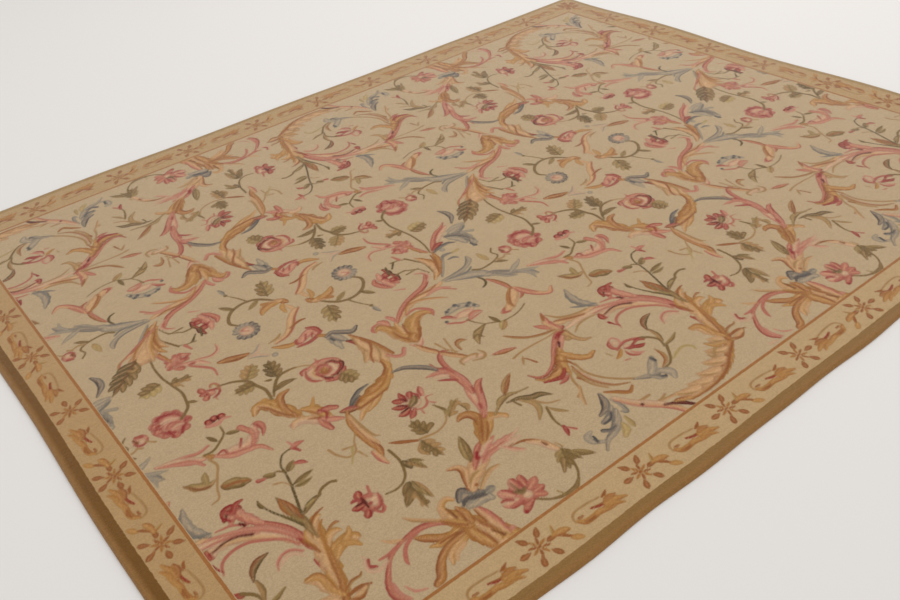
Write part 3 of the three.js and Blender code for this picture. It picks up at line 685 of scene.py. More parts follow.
ribbon("tan", (-59.2, -57.2, 0.6), (-58.9, -55.3, 0.8), (-56, -55.2, 0.7), (-54, -55.9, 0.8),
       (-54.8, -57, 0.5))
ribbon("tan", (-56.4, -57.5, 0.5), (-53.8, -58.5, 0.8), (-52.3, -57.2, 0.8), (-52.8, -55, 0.5))
stem("tan", 0.7, (-59.3, -45), (-58.6, -49), (-57, -51.8))
stem("tan", 0.7, (-56.3, -45), (-57.2, -49), (-57.8, -52.8))
ribbon("rust tan", (-55.8, -52, 0.5), (-55.4, -49.5, 1.1), (-54, -48.6, 1.7), (-52.3, -49.5, 0.5))
ribbon("moss olive", (-50.9, -53.4, 0.5), (-49.4, -50.6, 2.2), (-47.6, -49.2, 2.3), (-45, -48.2, 0.7))
ribbon("olive", (-50.4, -50.4, 0.6), (-48.8, -50, 0.8), (-48, -52, 0.4))

# The branch across the middle, in slate and lilac, and at its right an olive sprig with a
# pink bud and a small ruffled peony of pink, coral and rose.
ribbon("slate lilac", (-39.8, -23.6, 0.8), (-36.4, -23.7, 1.4), (-32.7, -23.5, 1.8), (-30, -22.5, 1.6),
       (-27.9, -20.8, 2), (-27.3, -19, 1))
ribbon("lilac", (-39.6, -24.6, 0.9), (-36.6, -25.4, 2.6), (-33, -26.8, 4), (-30, -28.6, 4), (-27.6, -31, 3),
       (-24.4, -33.4, 2.6), (-21.6, -35.4, 2.4), (-19.4, -37.6, 2), (-18, -40.2, 0.8))
ribbon("slate", (-28.4, -29.8, 0.5), (-26.4, -30.7, 1.4), (-24.3, -32.6, 1.5), (-22.3, -34.2, 0.8))
ribbon("slate", (-23, -34.9, 0.5), (-20.5, -36.2, 1), (-18.3, -37.9, 0.9), (-17.4, -40.4, 0.4))
ribbon("lilac", (-23, -34.2, 1), (-20.4, -33, 1.9), (-18, -31.8, 1), (-17, -31, 0.4))
ribbon("slate lilac", (-27.4, -31.6, 1), (-25, -34.8, 1.6), (-22.8, -36.8, 0.5))
ribbon("lilac", (-21, -35.4, 1.2), (-18.4, -37, 1.4), (-15.6, -38.2, 0.4))
ribbon("lilac", (-20.6, -36.4, 1), (-19.4, -39, 1.2), (-19.6, -41.6, 0.4))
ribbon("slate", (-38.6, -24.2, 0.4), (-35, -24.9, 0.8), (-31.8, -25.2, 0.8), (-29.6, -24, 0.6))
ribbon("slate", (-35.6, -27.2, 0.4), (-32.6, -28.6, 0.8), (-30, -30.2, 0.5))
ribbon("forest", (-31.8, -29.6, 0.5), (-31.1, -31.8, 0.8), (-32, -33.7, 0.8), (-33.7, -34.5, 0.6))
ribbon("amber peach", (-41.1, -21.6, 0.8), (-38.6, -19, 1.9), (-35.6, -15, 1.9), (-33.9, -12.4, 1.4))
ribbon("slate lilac", (-38.7, -22, 0.7), (-36, -18.5, 1.4), (-33, -14.8, 1))
stem("olive", 0.9, (-30.2, -25.6), (-28.2, -27), (-24.5, -26.9), (-21.8, -26.2), (-20, -24.8),
     (-20.5, -22.5), (-19, -20.6))
leaf("straw", (-23.6, -25), (-24.2, -19.6), 2, rib="tan")
ribbon("olive", (-23.2, -26.9, 0.5), (-21.4, -28, 1.4), (-19.8, -29.2, 0.5))
spot("pink coral", -16.4, -24, 4)
spot("blush", -16.3, -24.7, 2)
ribbon("rose", (-18.4, -24.8, 0.4), (-17, -26, 0.6), (-15, -25.6, 0.4))
ribbon("rose", (-17, -22.2, 0.8), (-15.8, -22.8, 1.3))
ribbon("sienna", (-17.9, -23, 0.6), (-17.4, -24.4, 0.9))
ribbon("tan", (-18.4, -26.1, 0.5), (-17.1, -27.1, 0.7))
ribbon("tan", (-15.6, -25.2, 0.5), (-13.8, -27.1, 0.7))
ribbon("tan", (-22, -26.3, 0.6), (-20, -27, 0.7), (-18.2, -26.4, 0.5))
spot("pink", -8.6, -23.8, 9.4)
for x, y, size in (
    (-10.2, -20.2, 3), (-7.8, -19.9, 3), (-5.9, -20.8, 2.8), (-11.9, -21.9, 3), (-12, -24.1, 2.8),
    (-10.8, -26.6, 3), (-8.9, -28.2, 2.8), (-6, -27.3, 2.8), (-4.4, -25, 2.6),
):
    spot("pink coral", x, y, size)
    ribbon("rose", (x - 0.8, y - 0.2, 0.3), (x, y + 0.7, 0.6), (x + 0.9, y, 0.3))
ribbon("rose", (-10.6, -21.2, 0.5), (-9.6, -19.9, 0.9), (-7.4, -20.3, 0.9), (-5.9, -20.9, 0.9),
       (-5.2, -22.6, 0.5))
ribbon("crimson rose", (-11.6, -22.6, 0.7), (-9.8, -22.9, 1))
ribbon("crimson rose", (-11.2, -25.4, 0.6), (-10.1, -26.7, 1.2), (-8.9, -27.2, 0.9))
ribbon("rose crimson", (-9.6, -26, 0.7), (-9.4, -28.6, 0.8))
ribbon("crimson rose", (-7.4, -28.8, 0.7), (-6.3, -27.2, 1), (-5.2, -26.2, 0.6))
ribbon("crimson rose", (-5.4, -25.3, 0.8), (-3.6, -25.1, 0.6))
ribbon("crimson rose", (-10.8, -20.6, 0.6), (-9.2, -19.7, 0.9), (-7.2, -20.4, 0.7))
ribbon("pink blush", (-9.9, -21.9, 1.2), (-8.1, -21.5, 1.9), (-6.2, -22.8, 1.4))
ribbon("pink coral", (-9.4, -24.6, 1.3), (-7, -24, 1.6), (-5.8, -25, 1))
ribbon("rose coral", (-9.9, -24.9, 0.4), (-8.4, -23.7, 0.6), (-6, -24.6, 0.4))
ribbon("blush pink", (-10.6, -23.2, 0.5), (-8.8, -22.9, 1), (-7, -23.2, 0.6))
ribbon("blush pink", (-8.6, -26.2, 0.5), (-7.2, -25.6, 1), (-5.8, -26, 0.5))
ribbon("rose", (-12.6, -23, 0.4), (-11.2, -23.6, 0.6), (-10.2, -23.4, 0.3))
ribbon("rose", (-5.6, -21.8, 0.4), (-5, -23.2, 0.6), (-5.4, -24.4, 0.3))
stem("olive", 1, (-5.5, -24), (-2.7, -21.6), (-1.8, -19.4), (-1.1, -15), (-1.8, -10.4), (-2.5, -5.8),
     (-2.5, -1.3), (-2, 2.4), (-0.9, 6.5))
ribbon("olive", (-1.6, -19.2, 0.5), (-0.6, -20, 1.2), (0.4, -20.8, 0.4))
leaf("olive tan", (-1.8, -9.7), (4, -10.7), 3.4, lobes=1, rib="forest")
stem("tan", 0.9, (-0.4, -10.6), (0.4, -13))
leaf("straw olive", (-4, -7.5), (-10.4, -9.2), 4.6, lobes=2, rib="olive")

# The frond near the centre: blades of blush and pink edged in coral, with a row of crimson
# buds above them and leaves of olive and moss below.
ribbon("pink coral", (-17.7, -35.4, 0.6), (-14.5, -36.2, 1.2), (-10.9, -37, 1.2), (-7.7, -38, 1.1),
       (-4.8, -37.4, 0.8))
ribbon("blush pink", (-17.4, -35.6, 0.8), (-13.4, -37.2, 2.4), (-10, -39.6, 2.6), (-7.4, -40.8, 1.2))
ribbon("coral pink", (-16.9, -36.1, 0.6), (-13.1, -38, 1.4), (-10, -39.8, 1.4), (-8.4, -42.7, 0.8))
ribbon("amber", (-7, -39.8, 0.9), (-5.8, -41.4, 1.7))
ribbon("blush pink", (-4.8, -41.8, 1.6), (-1, -43, 3.4), (3, -43.6, 3.6), (5.6, -41.4, 2.8),
       (6.6, -38.8, 1.6))
ribbon("coral pink", (-5, -42, 0.9), (-1.8, -44.4, 2), (1.9, -45.4, 1.6), (4.6, -46.3, 1.5),
       (6.2, -49.4, 0.6))
ribbon("rose", (-4.2, -41.6, 0.5), (-2.7, -41.4, 0.8), (-2.4, -42.8, 0.6))
ribbon("rose", (0.8, -43.2, 0.5), (2.4, -40.8, 0.7))
ribbon("coral", (3.6, -44.6, 0.9), (5, -42, 1), (5.2, -40, 1.6), (4, -37.2, 2))
ribbon("rose coral", (6.9, -43.6, 0.4), (8.2, -41.2, 1.5), (8.1, -39, 1.8), (7, -38.1, 0.5))
stem("olive", 0.9, (-6.8, -39.8), (-4.5, -39.8), (-1.8, -38), (0, -36.2), (0.5, -33.4))
leaf("olive", (-2.4, -37.6), (-3.9, -34.2), 1.3)
leaf("moss olive", (0.4, -36.6), (3.5, -38.2), 1.5)
spot("crimson rose", -1, -30, 2.2)
spot("rose crimson", 0.7, -29.6, 2.2)
spot("crimson rose", 2.4, -30.1, 2.2)
ribbon("wine", (-0.2, -29.4, 0.4), (0.1, -30.8, 0.6))
ribbon("wine", (1.5, -29.4, 0.4), (1.5, -30.8, 0.6))
ribbon("pink", (-2, -31.2, 1.2), (0.4, -32, 1.4), (2.4, -31.2, 0.9), (4, -31.9, 0.7))
stem("tan", 0.8, (-6.8, -41.8), (-6.1, -44.8), (-7.7, -48), (-9.5, -51.6), (-10.5, -54.4), (-12.6, -55.1))
ribbon("moss tan", (-15.2, -45.6, 0.5), (-13, -47.8, 3), (-10.6, -49.2, 2.2), (-8.8, -48.8, 0.8))
ribbon("sienna", (-15, -45.4, 0.3), (-12.8, -48.8, 0.7), (-10, -49.8, 0.4))
ribbon("moss", (-10.4, -48.6, 0.9), (-10.2, -46.6, 1.8), (-9.4, -45, 0.4))
leaf("moss olive", (-8.4, -51.4), (-2.2, -54.6), 4, rib="rust")
ribbon("rust", (-8.2, -52.4, 0.5), (-5.4, -52.6, 0.8), (-2.4, -54.4, 0.4))

# The orange acanthus fan, of peach and coral blades lined in rust, and the flower at its
# left, with a rim of lilac, slate and navy over a blush heart.
ribbon("peach", (-28.4, -38.6, 1), (-29, -41.8, 3.2), (-31.6, -44.8, 3.6), (-35, -47, 3), (-37.8, -47.4, 1.2))
ribbon("rust coral", (-30.4, -32.2, 0.7), (-29.3, -34.8, 1.6), (-28.5, -38, 1.7), (-28.4, -40.4, 1))
ribbon("rust amber", (-28.4, -40, 0.6), (-31.2, -42.4, 1.3), (-33.2, -45.2, 1.3), (-33.5, -47.3, 0.7))
ribbon("rust coral", (-28, -40, 0.6), (-26.8, -42.5, 1), (-28, -44.8, 1.1), (-29.7, -45.8, 0.5))
ribbon("rose coral", (-36, -46.2, 0.7), (-37.4, -47.6, 1.2), (-35.6, -48.4, 0.7))
ribbon("peach coral", (-27.6, -40.6, 1), (-26.8, -43.4, 2.4), (-25.2, -46.6, 2.2), (-23.4, -48.7, 1.8),
       (-21.6, -49.4, 1.6), (-19.8, -47.6, 0.8))
ribbon("coral", (-27, -41.2, 0.5), (-26, -44, 0.8), (-24.4, -46.8, 0.6))
ribbon("lilac", (-49, -37.2, 1.4), (-46.6, -36.6, 2.4), (-44.2, -36.7, 2.4), (-41.8, -38.2, 2.2),
       (-40.5, -40.2, 1.3))
for x, y, size in (
    (-48.6, -36.4, 1.4), (-47.5, -35.8, 0.9), (-45.1, -35.5, 1.5), (-44.5, -36.5, 0.8),
    (-42.6, -38, 1.4), (-41.5, -37.4, 1.4), (-41, -39.2, 1.2), (-51.4, -39.9, 1.2),
):
    spot("slate", x + 0.1, y, size)
    spot("navy", x, y, 0.6 * size)
ribbon("blush", (-49, -39.8, 1.4), (-45.6, -40.6, 3.6), (-42.4, -40, 1.6))
ribbon("pink blush", (-48.7, -41, 0.5), (-46.6, -39.5, 0.8), (-44.4, -39.6, 0.8), (-42.6, -40.4, 0.5))
ribbon("rose coral", (-51, -37.6, 0.9), (-49.6, -38.5, 1.4), (-48.3, -40.2, 0.5))
ribbon("coral", (-51.7, -40.7, 0.6), (-50, -41.8, 0.9), (-48.4, -43, 0.9), (-46.4, -43.5, 0.5))
ribbon("coral pink", (-45.8, -43.2, 0.8), (-43.9, -41.8, 1.6), (-42, -42, 1.2), (-41.1, -42.8, 0.4))
ribbon("coral", (-46, -43.7, 0.5), (-43.4, -43.3, 0.6), (-41.8, -43.2, 0.4))
stem("olive", 0.7, (-46.6, -43), (-45.7, -45.7), (-44.3, -47.8))
stem("olive", 0.7, (-48.6, -48.5), (-44.5, -48), (-42.3, -49), (-40, -50.3), (-36.4, -50.5), (-33.2, -49.8),
     (-30.5, -48.5))
leaf("olive", (-40.8, -50.2), (-41.5, -45.8), 1.4)
leaf("tan straw", (-39.6, -50.4), (-42.8, -53.2), 2.3, rib="olive")
ribbon("coral rust", (-51.2, -59.3, 0.7), (-48.4, -60.2, 1.9), (-45.2, -61.2, 0.7))
ribbon("rust tan", (-44.2, -55.5, 0.6), (-42.3, -58.1, 1.1), (-40, -60.3, 1), (-36.4, -62, 1),
       (-31.6, -63.1, 0.8))
stem("tan", 0.8, (-48.4, -64.1), (-45.5, -63.5), (-41, -63.5), (-36.4, -63.8), (-32.5, -63.5))
ribbon("tan", (-46.3, -65.2, 0.4), (-47.2, -66.4, 0.8), (-48.2, -67.8, 0.4))
ribbon("rust", (-46.2, -66.2, 0.5), (-45.1, -69.3, 0.7))
ribbon("peach", (-34, -61.4, 1.2), (-29, -61.4, 3), (-24, -62.6, 2.4), (-18, -62.9, 1))
ribbon("peach coral", (-31.6, -63, 2.2), (-32.3, -60, 3), (-31.6, -57.4, 2), (-30.5, -54.8, 0.5))
ribbon("rust", (-32.2, -58, 0.5), (-31.5, -56.8, 1), (-30.8, -55.2, 0.5))
ribbon("coral", (-35.6, -58, 0.7), (-34.3, -59.8, 1.8), (-33.2, -61.6, 0.8))
ribbon("tan", (-30.2, -56.4, 0.5), (-28.6, -59.3, 0.9), (-26.2, -60.9, 0.9), (-22.7, -62, 0.8),
       (-20.3, -62, 0.4))
ribbon("rust", (-30.4, -60.1, 0.5), (-26.4, -62, 0.9), (-22.4, -63.4, 0.6))
ribbon("crimson", (-35.2, -65.6, 0.6), (-33.2, -64.9, 1.2), (-31.4, -64.9, 0.6))
ribbon("lilac slate", (-18.3, -51.6, 0.6), (-19.5, -55, 2.8), (-19.6, -58.4, 3.3), (-18.2, -61.2, 2.6),
       (-17, -63, 0.8))
ribbon("slate", (-22.9, -58.8, 0.5), (-20.2, -60.7, 0.9), (-16.6, -62.2, 0.6))
ribbon("slate", (-20.2, -54, 0.4), (-20.7, -57, 0.7), (-19.6, -59.6, 0.5))
ribbon("pink coral", (-9.6, -59.6, 1.6), (-9.2, -62.2, 3), (-8, -65.2, 3), (-6.6, -67.6, 1.4))
ribbon("crimson rose", (-11.7, -58.7, 0.8), (-10.2, -60.4, 1.5), (-8.8, -58.7, 1.4), (-6.9, -58.4, 0.7))
ribbon("crimson", (-12.9, -60.1, 0.5), (-11.7, -62.2, 0.8))

# The gold fork. Its stems are gold edged in amber and rust, and they end in rose and blush
# lobes.
ribbon("gold amber", (-108.8, -35.6, 1.6), (-106.6, -33.8, 3), (-104, -35, 5), (-102.6, -38.6, 5.4),
       (-101.2, -42, 3.6), (-100.2, -44.4, 1.2))
ribbon("gold peach", (-98.6, -42, 1.2), (-96.6, -44.6, 4), (-95.6, -47.8, 3.4), (-95.4, -49.8, 1.6))
ribbon("pink blush", (-103.6, -45.8, 2), (-100.6, -46, 2.8), (-97.6, -49, 3.4))
ribbon("gold peach", (-108.8, -36, 0.8), (-107.5, -33.6, 2.4), (-105.6, -33.8, 2.6), (-104.2, -36.4, 2.9),
       (-102.8, -40, 2.9), (-101, -43.3, 2), (-100, -44.6, 0.8))
ribbon("amber rust", (-100.8, -44, 0.8), (-101.9, -39.8, 1.7), (-101.5, -36.3, 2.1), (-100.2, -34, 2),
       (-97.7, -33.4, 0.9))
ribbon("gold", (-105.3, -32.6, 1), (-104, -32.6, 1.5))
ribbon("rust", (-106.6, -33.6, 0.4), (-105, -36, 0.8), (-103.4, -40, 0.8), (-101.6, -43, 0.6))
ribbon("peach blush", (-104, -46.8, 0.6), (-102.4, -45.2, 1.8), (-99.7, -46.1, 2.2), (-97, -48.8, 2.4),
       (-94.8, -49.6, 1.4))
ribbon("rust", (-99.4, -46.4, 0.5), (-97, -47.9, 0.8), (-95.4, -48.2, 0.5))
ribbon("gold amber", (-99.6, -41.9, 0.6), (-97.5, -43.5, 2.3), (-96, -45.8, 2.6), (-96, -48.8, 1.1))
ribbon("gold", (-94.5, -40.4, 0.6), (-96.3, -42.9, 1.4))
ribbon("rose coral", (-96.2, -46, 1.2), (-94, -46.3, 2.1), (-92.2, -47.4, 1.6))
ribbon("rose coral", (-97.6, -48.4, 1.2), (-97.4, -50.8, 2.1), (-97, -53, 1.5))
ribbon("coral pink", (-96.8, -48.6, 1.2), (-95.2, -50.4, 2.1), (-93.2, -51.8, 1.2))
ribbon("rose crimson", (-96, -45.2, 0.4), (-94.9, -47.4, 0.8), (-96.2, -49.4, 0.5))
stem("tan", 0.8, (-101.6, -58.8), (-101, -61.6), (-99.3, -64), (-97, -63.5), (-95.6, -60.7), (-94.2, -58.8))
stem("tan", 0.8, (-99, -61), (-96.4, -61.7))
stem("straw", 0.8, (-96.9, -61.8), (-98.4, -64.3), (-99.9, -66.3))
stem("tan", 0.7, (-96.6, -64.1), (-96, -66.7))

# The blue flower in the middle strip, with petals of slate, lilac and navy. At its right a
# bent olive stalk with olive and moss leaves grows from a small gold acanthus.
petals("navy slate", -93.7, -3.3, 1.8, 3.7, 2, 8, first=-150, sweep=210)
petals("slate lilac", -93.7, -3.3, 1.4, 3.4, 1.8, 5, first=60, sweep=130)
spot("blush", -93.6, -3.6, 4.2)
ribbon("coral", (-93, -4.2, 0.3), (-94.6, -2.6, 0.6), (-93, -2.2, 0.3))
ribbon("olive", (-71.8, -5.4, 0.6), (-69.5, -8.5, 1), (-67, -10.8, 1), (-63.5, -11.6, 1), (-59.7, -10.5, 1.1),
       (-57.2, -8, 1), (-56.3, -5.2, 1), (-57.6, -3, 0.7))
leaf("olive moss", (-70.8, -9.6), (-73.2, -18.2), 4.5, lobes=2)
leaf("moss", (-67.6, -9.8), (-63.3, -7.4), 1.8, rib="olive")
leaf("moss olive", (-60.2, -10.8), (-57.3, -14.7), 1.7)
stem("olive", 0.7, (-65, -12), (-63.6, -15.4), (-61.8, -18.6))
spot("olive", -61.8, -18.7, 1.2)
ribbon("lilac slate", (-61.7, -19.6, 0.8), (-61.7, -21, 1.4), (-61.3, -22.8, 0.5))
ribbon("rust amber", (-73.6, -3, 1.2), (-72.9, -4.2, 2.4), (-71.8, -5.6, 1.8))
ribbon("gold peach", (-72.4, -4.8, 2), (-69.4, -5.4, 3.6), (-67, -5, 2.6), (-65.4, -3, 1.2))
ribbon("gold amber", (-70.9, -5.2, 1), (-68.4, -5, 2.5), (-66.2, -3.9, 2), (-65.2, -2.6, 0.8))
ribbon("amber", (-69, -6.6, 0.8), (-67.6, -7, 1.4))
ribbon("peach", (-72.6, -1.6, 1), (-73, 0.4, 1.6), (-73, 2.2, 1))

# The scrolls at the rug's left in the middle strip, in peach and rust and in pink and coral,
# with a rust bar between them and a ruffled pink blossom at their head.
ribbon("tan", (-91.9, -13.1, 0.5), (-89, -12.6, 0.9), (-87.5, -11.6, 0.6))
ribbon("peach", (-90.7, -14.2, 0.6), (-86.6, -13.2, 1.5), (-84.1, -11, 2), (-82, -7.8, 2), (-79.6, -5.4, 2),
       (-77.4, -4.4, 0.8))
ribbon("rust coral", (-90.5, -14.8, 0.4), (-86.4, -13.9, 0.7), (-82.9, -11.2, 0.8), (-80.4, -7.6, 0.7),
       (-77.4, -4.6, 0.6))
ribbon("rust", (-84.2, -11.3, 0.5), (-80.6, -10.2, 0.9), (-78.8, -10.4, 0.6))
ribbon("gold", (-81.1, -3.9, 0.9), (-80.8, -1.2, 1.7), (-79.8, 0.3, 0.9))
ribbon("rust amber", (-105.8, -10.7, 1.2), (-103.4, -11.5, 2.5), (-101, -12.5, 2.5), (-98.1, -13, 0.9))
ribbon("sienna rust", (-104.6, -11.7, 0.5), (-102, -12.9, 0.9), (-99.2, -13.5, 0.6))
ribbon("lilac blush", (-98.6, -14.1, 0.6), (-96, -13.6, 1.4), (-94, -11.7, 0.8))
ribbon("blush lilac", (-99, -14.8, 0.6), (-96.6, -15.6, 1.6), (-94.6, -17.4, 1))
spot("lilac", -93, -18.5, 1.8)
for x, y, size in (
    (-116.8, -3.6, 1.8), (-114.4, -4, 2), (-116.2, -0.4, 1.8), (-113.6, 0.6, 1.6), (-111.6, -2.8, 1.8),
):
    spot("pink coral", x, y, size)
    ribbon("rose", (x - 0.5, y - 0.4, 0.3), (x + 0.3, y + 0.3, 0.5))
spot("pink coral", -115.4, -2.2, 3)
spot("pink coral", -113, -2.4, 2.6)
ribbon("coral pink", (-117, -2.2, 1.2), (-114.8, -0.9, 2), (-112.4, -0.1, 1.7), (-110.3, -1.5, 1.3))
ribbon("coral rose", (-113.4, -0.4, 0.5), (-112, 0.6, 0.7), (-112.6, -1.6, 0.4))
ribbon("pink blush", (-115.4, -4.6, 1.6), (-112.6, -5.2, 2.2), (-110, -6.4, 1.9), (-107.8, -9, 0.8))
ribbon("rose coral", (-115.6, -4.9, 1.1), (-114.2, -5.7, 2))
ribbon("coral blush", (-110, -5.2, 0.8), (-106, -6.7, 1.3), (-103.4, -5.4, 1.2), (-102.8, -2.8, 0.6))
ribbon("coral", (-112.2, -6.5, 0.8), (-109.3, -9.9, 1), (-108.1, -12.2, 0.8), (-108.4, -15.1, 0.5))
ribbon("rose", (-112.8, -2, 0.7), (-111.4, -2.2, 1), (-110.6, -1.6, 0.5))
ribbon("rose", (-112.2, -5.7, 0.6), (-110.9, -6, 1))
ribbon("crimson coral", (-116.4, 4.4, 0.7), (-116.4, 2.2, 1.3), (-115.9, 0.3, 0.7))

# The small rose, of rose and coral petals round a pink heart, on the long olive branch.
# Lobed leaves of olive, moss and tan grow from the branch on both sides.
spot("pink", -113, -20.3, 2.6)
ribbon("rose coral", (-114, -19.2, 1), (-114.6, -18, 2), (-114.6, -16.9, 0.8))
ribbon("coral rose", (-114.2, -19.4, 1), (-115.2, -19.6, 1.4))
ribbon("rose coral", (-113.8, -20.8, 1), (-114.8, -21.4, 2), (-114.9, -22, 1.2))
ribbon("rose", (-113.9, -18.4, 0.5), (-112.4, -19.4, 0.8), (-111, -19.9, 0.8), (-110.7, -21, 0.7),
       (-112, -22.2, 0.8), (-113.4, -22.6, 0.5))
ribbon("crimson", (-114.9, -20.3, 0.5), (-113.9, -20.2, 0.7))
ribbon("coral tan", (-112.2, -18.4, 0.5), (-111.7, -17.4, 0.8), (-110.7, -17.6, 0.8), (-110.3, -18.8, 1),
       (-110.5, -20.2, 0.8))
ribbon("coral", (-112.9, -22.6, 0.5), (-112.8, -24, 0.3))
ribbon("olive", (-110.2, -19.3, 0.6), (-106.5, -20.7, 0.9), (-103.8, -23, 1), (-102.9, -26.2, 1),
       (-102, -29.4, 1), (-102.5, -33.5, 0.8))
leaf("moss olive", (-103.2, -25.4), (-108.8, -25.2), 3.6, lobes=2)
leaf("tan moss", (-103.7, -22.4), (-99.4, -17.5), 4.2, lobes=2, rib="olive")
ribbon("olive", (-101.6, -33, 0.6), (-100.2, -30.7, 0.9), (-97.5, -27.5, 0.9), (-94.7, -26.6, 0.8),
       (-91.8, -26.9, 0.5))
leaf("forest olive", (-97.3, -26.8), (-95.7, -19.2), 4, lobes=2)
ribbon("olive", (-100.4, -26.2, 0.5), (-99.2, -26.8, 1))
leaf("olive", (-100.6, -31.4), (-93.6, -31.2), 2, bend=0.12)

# The dark peony in the middle strip, with crimson and wine petals and a pink and coral rim,
# on thin olive stalks, and the amber trunk at its right.
ribbon("pink", (-51.6, -7.2, 1.2), (-52.4, -9.6, 2.6), (-52, -13, 2.8), (-51.4, -15.6, 1.2))
ribbon("rose coral", (-54.2, -9, 0.9), (-55, -11, 2), (-54, -13.8, 1.8), (-52.6, -15.8, 0.8))
ribbon("coral", (-51.4, -11.6, 1.2), (-50.4, -13.6, 2), (-49.6, -15.2, 0.9))
ribbon("crimson", (-52.4, -10.6, 0.5), (-51.4, -10.2, 0.8), (-50.8, -11.4, 0.5))
spot("rose crimson", -50.2, -9.4, 2.6)
spot("rose crimson", -50, -12.8, 2.4)
ribbon("wine crimson", (-49.3, -6.4, 0.9), (-48.7, -8.6, 1.8), (-48.7, -10.2, 1.2), (-48.2, -12, 1.6),
       (-48.5, -14, 1.2))
ribbon("forest", (-48, -6.2, 0.6), (-49.2, -9.8, 1))
ribbon("forest", (-47, -8.2, 0.5), (-44.8, -5.6, 0.8))
stem("olive", 0.8, (-48.2, -11.5), (-45, -11.5), (-44, -12.2), (-41.4, -14), (-40.2, -17.5))
stem("olive", 0.9, (-41.1, -6.4), (-39.5, -10), (-38.4, -13), (-39.1, -18))
stem("olive", 0.7, (-45.7, -5.3), (-43.2, -5.8), (-41.3, -6.8))
stem("olive", 0.7, (-45.6, -13.6), (-41.2, -13.4))
ribbon("coral", (-43.3, -2.7, 0.6), (-42.6, -5.6, 1.2))
ribbon("pink", (-53, -17.4, 0.4), (-50.3, -19.1, 0.8))
ribbon("blush coral", (-43.8, -14.9, 0.6), (-41.8, -16.3, 1.3), (-41.3, -18.6, 1.3), (-43.4, -20.6, 0.6))
ribbon("amber peach", (-38.8, -8.4, 0.6), (-37.4, -11.6, 2.8), (-36.8, -15.4, 3.5), (-37.8, -18.6, 3),
       (-39.8, -20.7, 1.2))
ribbon("coral amber", (-36.6, -1.2, 0.7), (-35.6, -4.9, 1.7), (-34.3, -8.4, 1))
ribbon("rust", (-34.4, -10.4, 0.5), (-35, -13.5, 1), (-36.4, -16.4, 1), (-37.9, -19.4, 0.5))
ribbon("amber", (-33.1, -9.6, 0.8), (-34, -14, 1.7), (-36.1, -17.5, 0.9))

# Woven in the near half only: a tendril of blush, coral and crimson, and plumes of lilac
# and slate lined in navy at the middle.
only = "near"
ribbon("lilac slate", (-24.8, -5.6, 1.2), (-22, -6.2, 3.4), (-20.2, -9, 3.8), (-20, -12.6, 2.8),
       (-21.4, -15.8, 1.4))
ribbon("lilac", (-22.6, -5, 1.4), (-19.4, -4.2, 2.6), (-16.4, -3.4, 1))
ribbon("blush", (-32, -8.6, 0.8), (-29, -6.2, 2), (-26, -4.4, 1.4))
ribbon("pink blush", (-31.4, -7.6, 1), (-29, -5.6, 2.5), (-25, -3, 2.3), (-21, -0.8, 1.2))
ribbon("coral rose", (-32.7, -9.2, 0.6), (-30.5, -6.7, 1.9), (-28.2, -4, 1.7), (-25.5, -1.7, 1.6),
       (-22.7, -0.4, 1.2), (-20.2, 1.5, 0.5))
ribbon("crimson", (-32, -8.7, 0.9), (-29.5, -7.6, 2), (-27.4, -7.3, 0.7))
ribbon("navy slate", (-32.7, -10.2, 0.7), (-30.5, -9.3, 1.3), (-26.8, -8.9, 1.3), (-24.7, -10.1, 0.6))
spot("lilac", -30, -10.8, 1.8)
ribbon("lilac", (-24.4, -6.8, 1.8), (-22.6, -9.4, 3), (-22.2, -12.6, 1.6))
ribbon("slate navy", (-24.9, -5.2, 0.8), (-21.8, -6.7, 1.7), (-20, -9.5, 1.3), (-19.4, -13, 0.5))
ribbon("lilac", (-22.4, -3.6, 1), (-19, -3, 2), (-16, -3.1, 0.9))
ribbon("slate", (-20.8, -6.8, 0.6), (-17.7, -5.4, 1), (-16.2, -4.3, 0.5))
ribbon("lilac", (-19.4, -7, 0.9), (-16.5, -8.7, 1.5))
ribbon("navy", (-21.5, -14.2, 0.8), (-20.9, -16.1, 0.9))
spot("lilac", -20.1, -14.5, 1.9)
ribbon("slate navy", (-16.9, 8.1, 0.8), (-15.8, 5.5, 2), (-16.1, 2.4, 1.9), (-18.4, -0.7, 0.7))
ribbon("slate", (-33.4, -14.6, 0.6), (-31.4, -13.5, 1.3), (-28.8, -14, 0.7))
ribbon("slate", (-32, -16.2, 0.6), (-30, -16.3, 1.1), (-29.1, -17.4, 0.6))
ribbon("straw", (-29.2, -14.3, 0.6), (-26.6, -13.9, 1.2))

# Woven in the far half only, in the same place of its own turn: a frond of peach and gold
# lined in rust, with one lobed olive leaf.
only = "far"
ribbon("peach", (-39.4, -18.6, 1.4), (-36.4, -14.6, 5), (-33.4, -11, 8), (-30.6, -8.4, 6.4), (-27.8, -8.4, 3))
ribbon("peach coral", (-39.6, -19, 1.2), (-34.6, -15.6, 2), (-29.6, -12.6, 1.6), (-26.6, -11.4, 0.6))
ribbon("rust coral", (-38.6, -18, 0.5), (-34, -15, 0.9), (-29.8, -13, 0.5))
ribbon("coral tan", (-28.6, -12.6, 0.4), (-25.8, -10.8, 0.9), (-24.8, -8.6, 0.9), (-25.8, -6.6, 0.4))
ribbon("gold amber", (-40.4, -19.4, 0.8), (-38.2, -16.4, 1.9), (-36.6, -12.6, 2.2), (-36.4, -9, 1.6),
       (-37.6, -6.6, 0.6))
ribbon("rust", (-39.6, -18.6, 0.4), (-37.2, -14, 0.8), (-36.9, -9.6, 0.5))
ribbon("gold peach", (-37.6, -17, 1), (-34.9, -12.6, 1.8), (-34, -8.6, 1.4), (-33.4, -5.4, 0.5))
ribbon("peach amber", (-36, -16.4, 0.8), (-32, -13, 1.6), (-29.4, -9.4, 1))
leaf("olive forest", (-29.8, -9.4), (-18.8, 1), 5.6, lobes=3, rib="sienna")
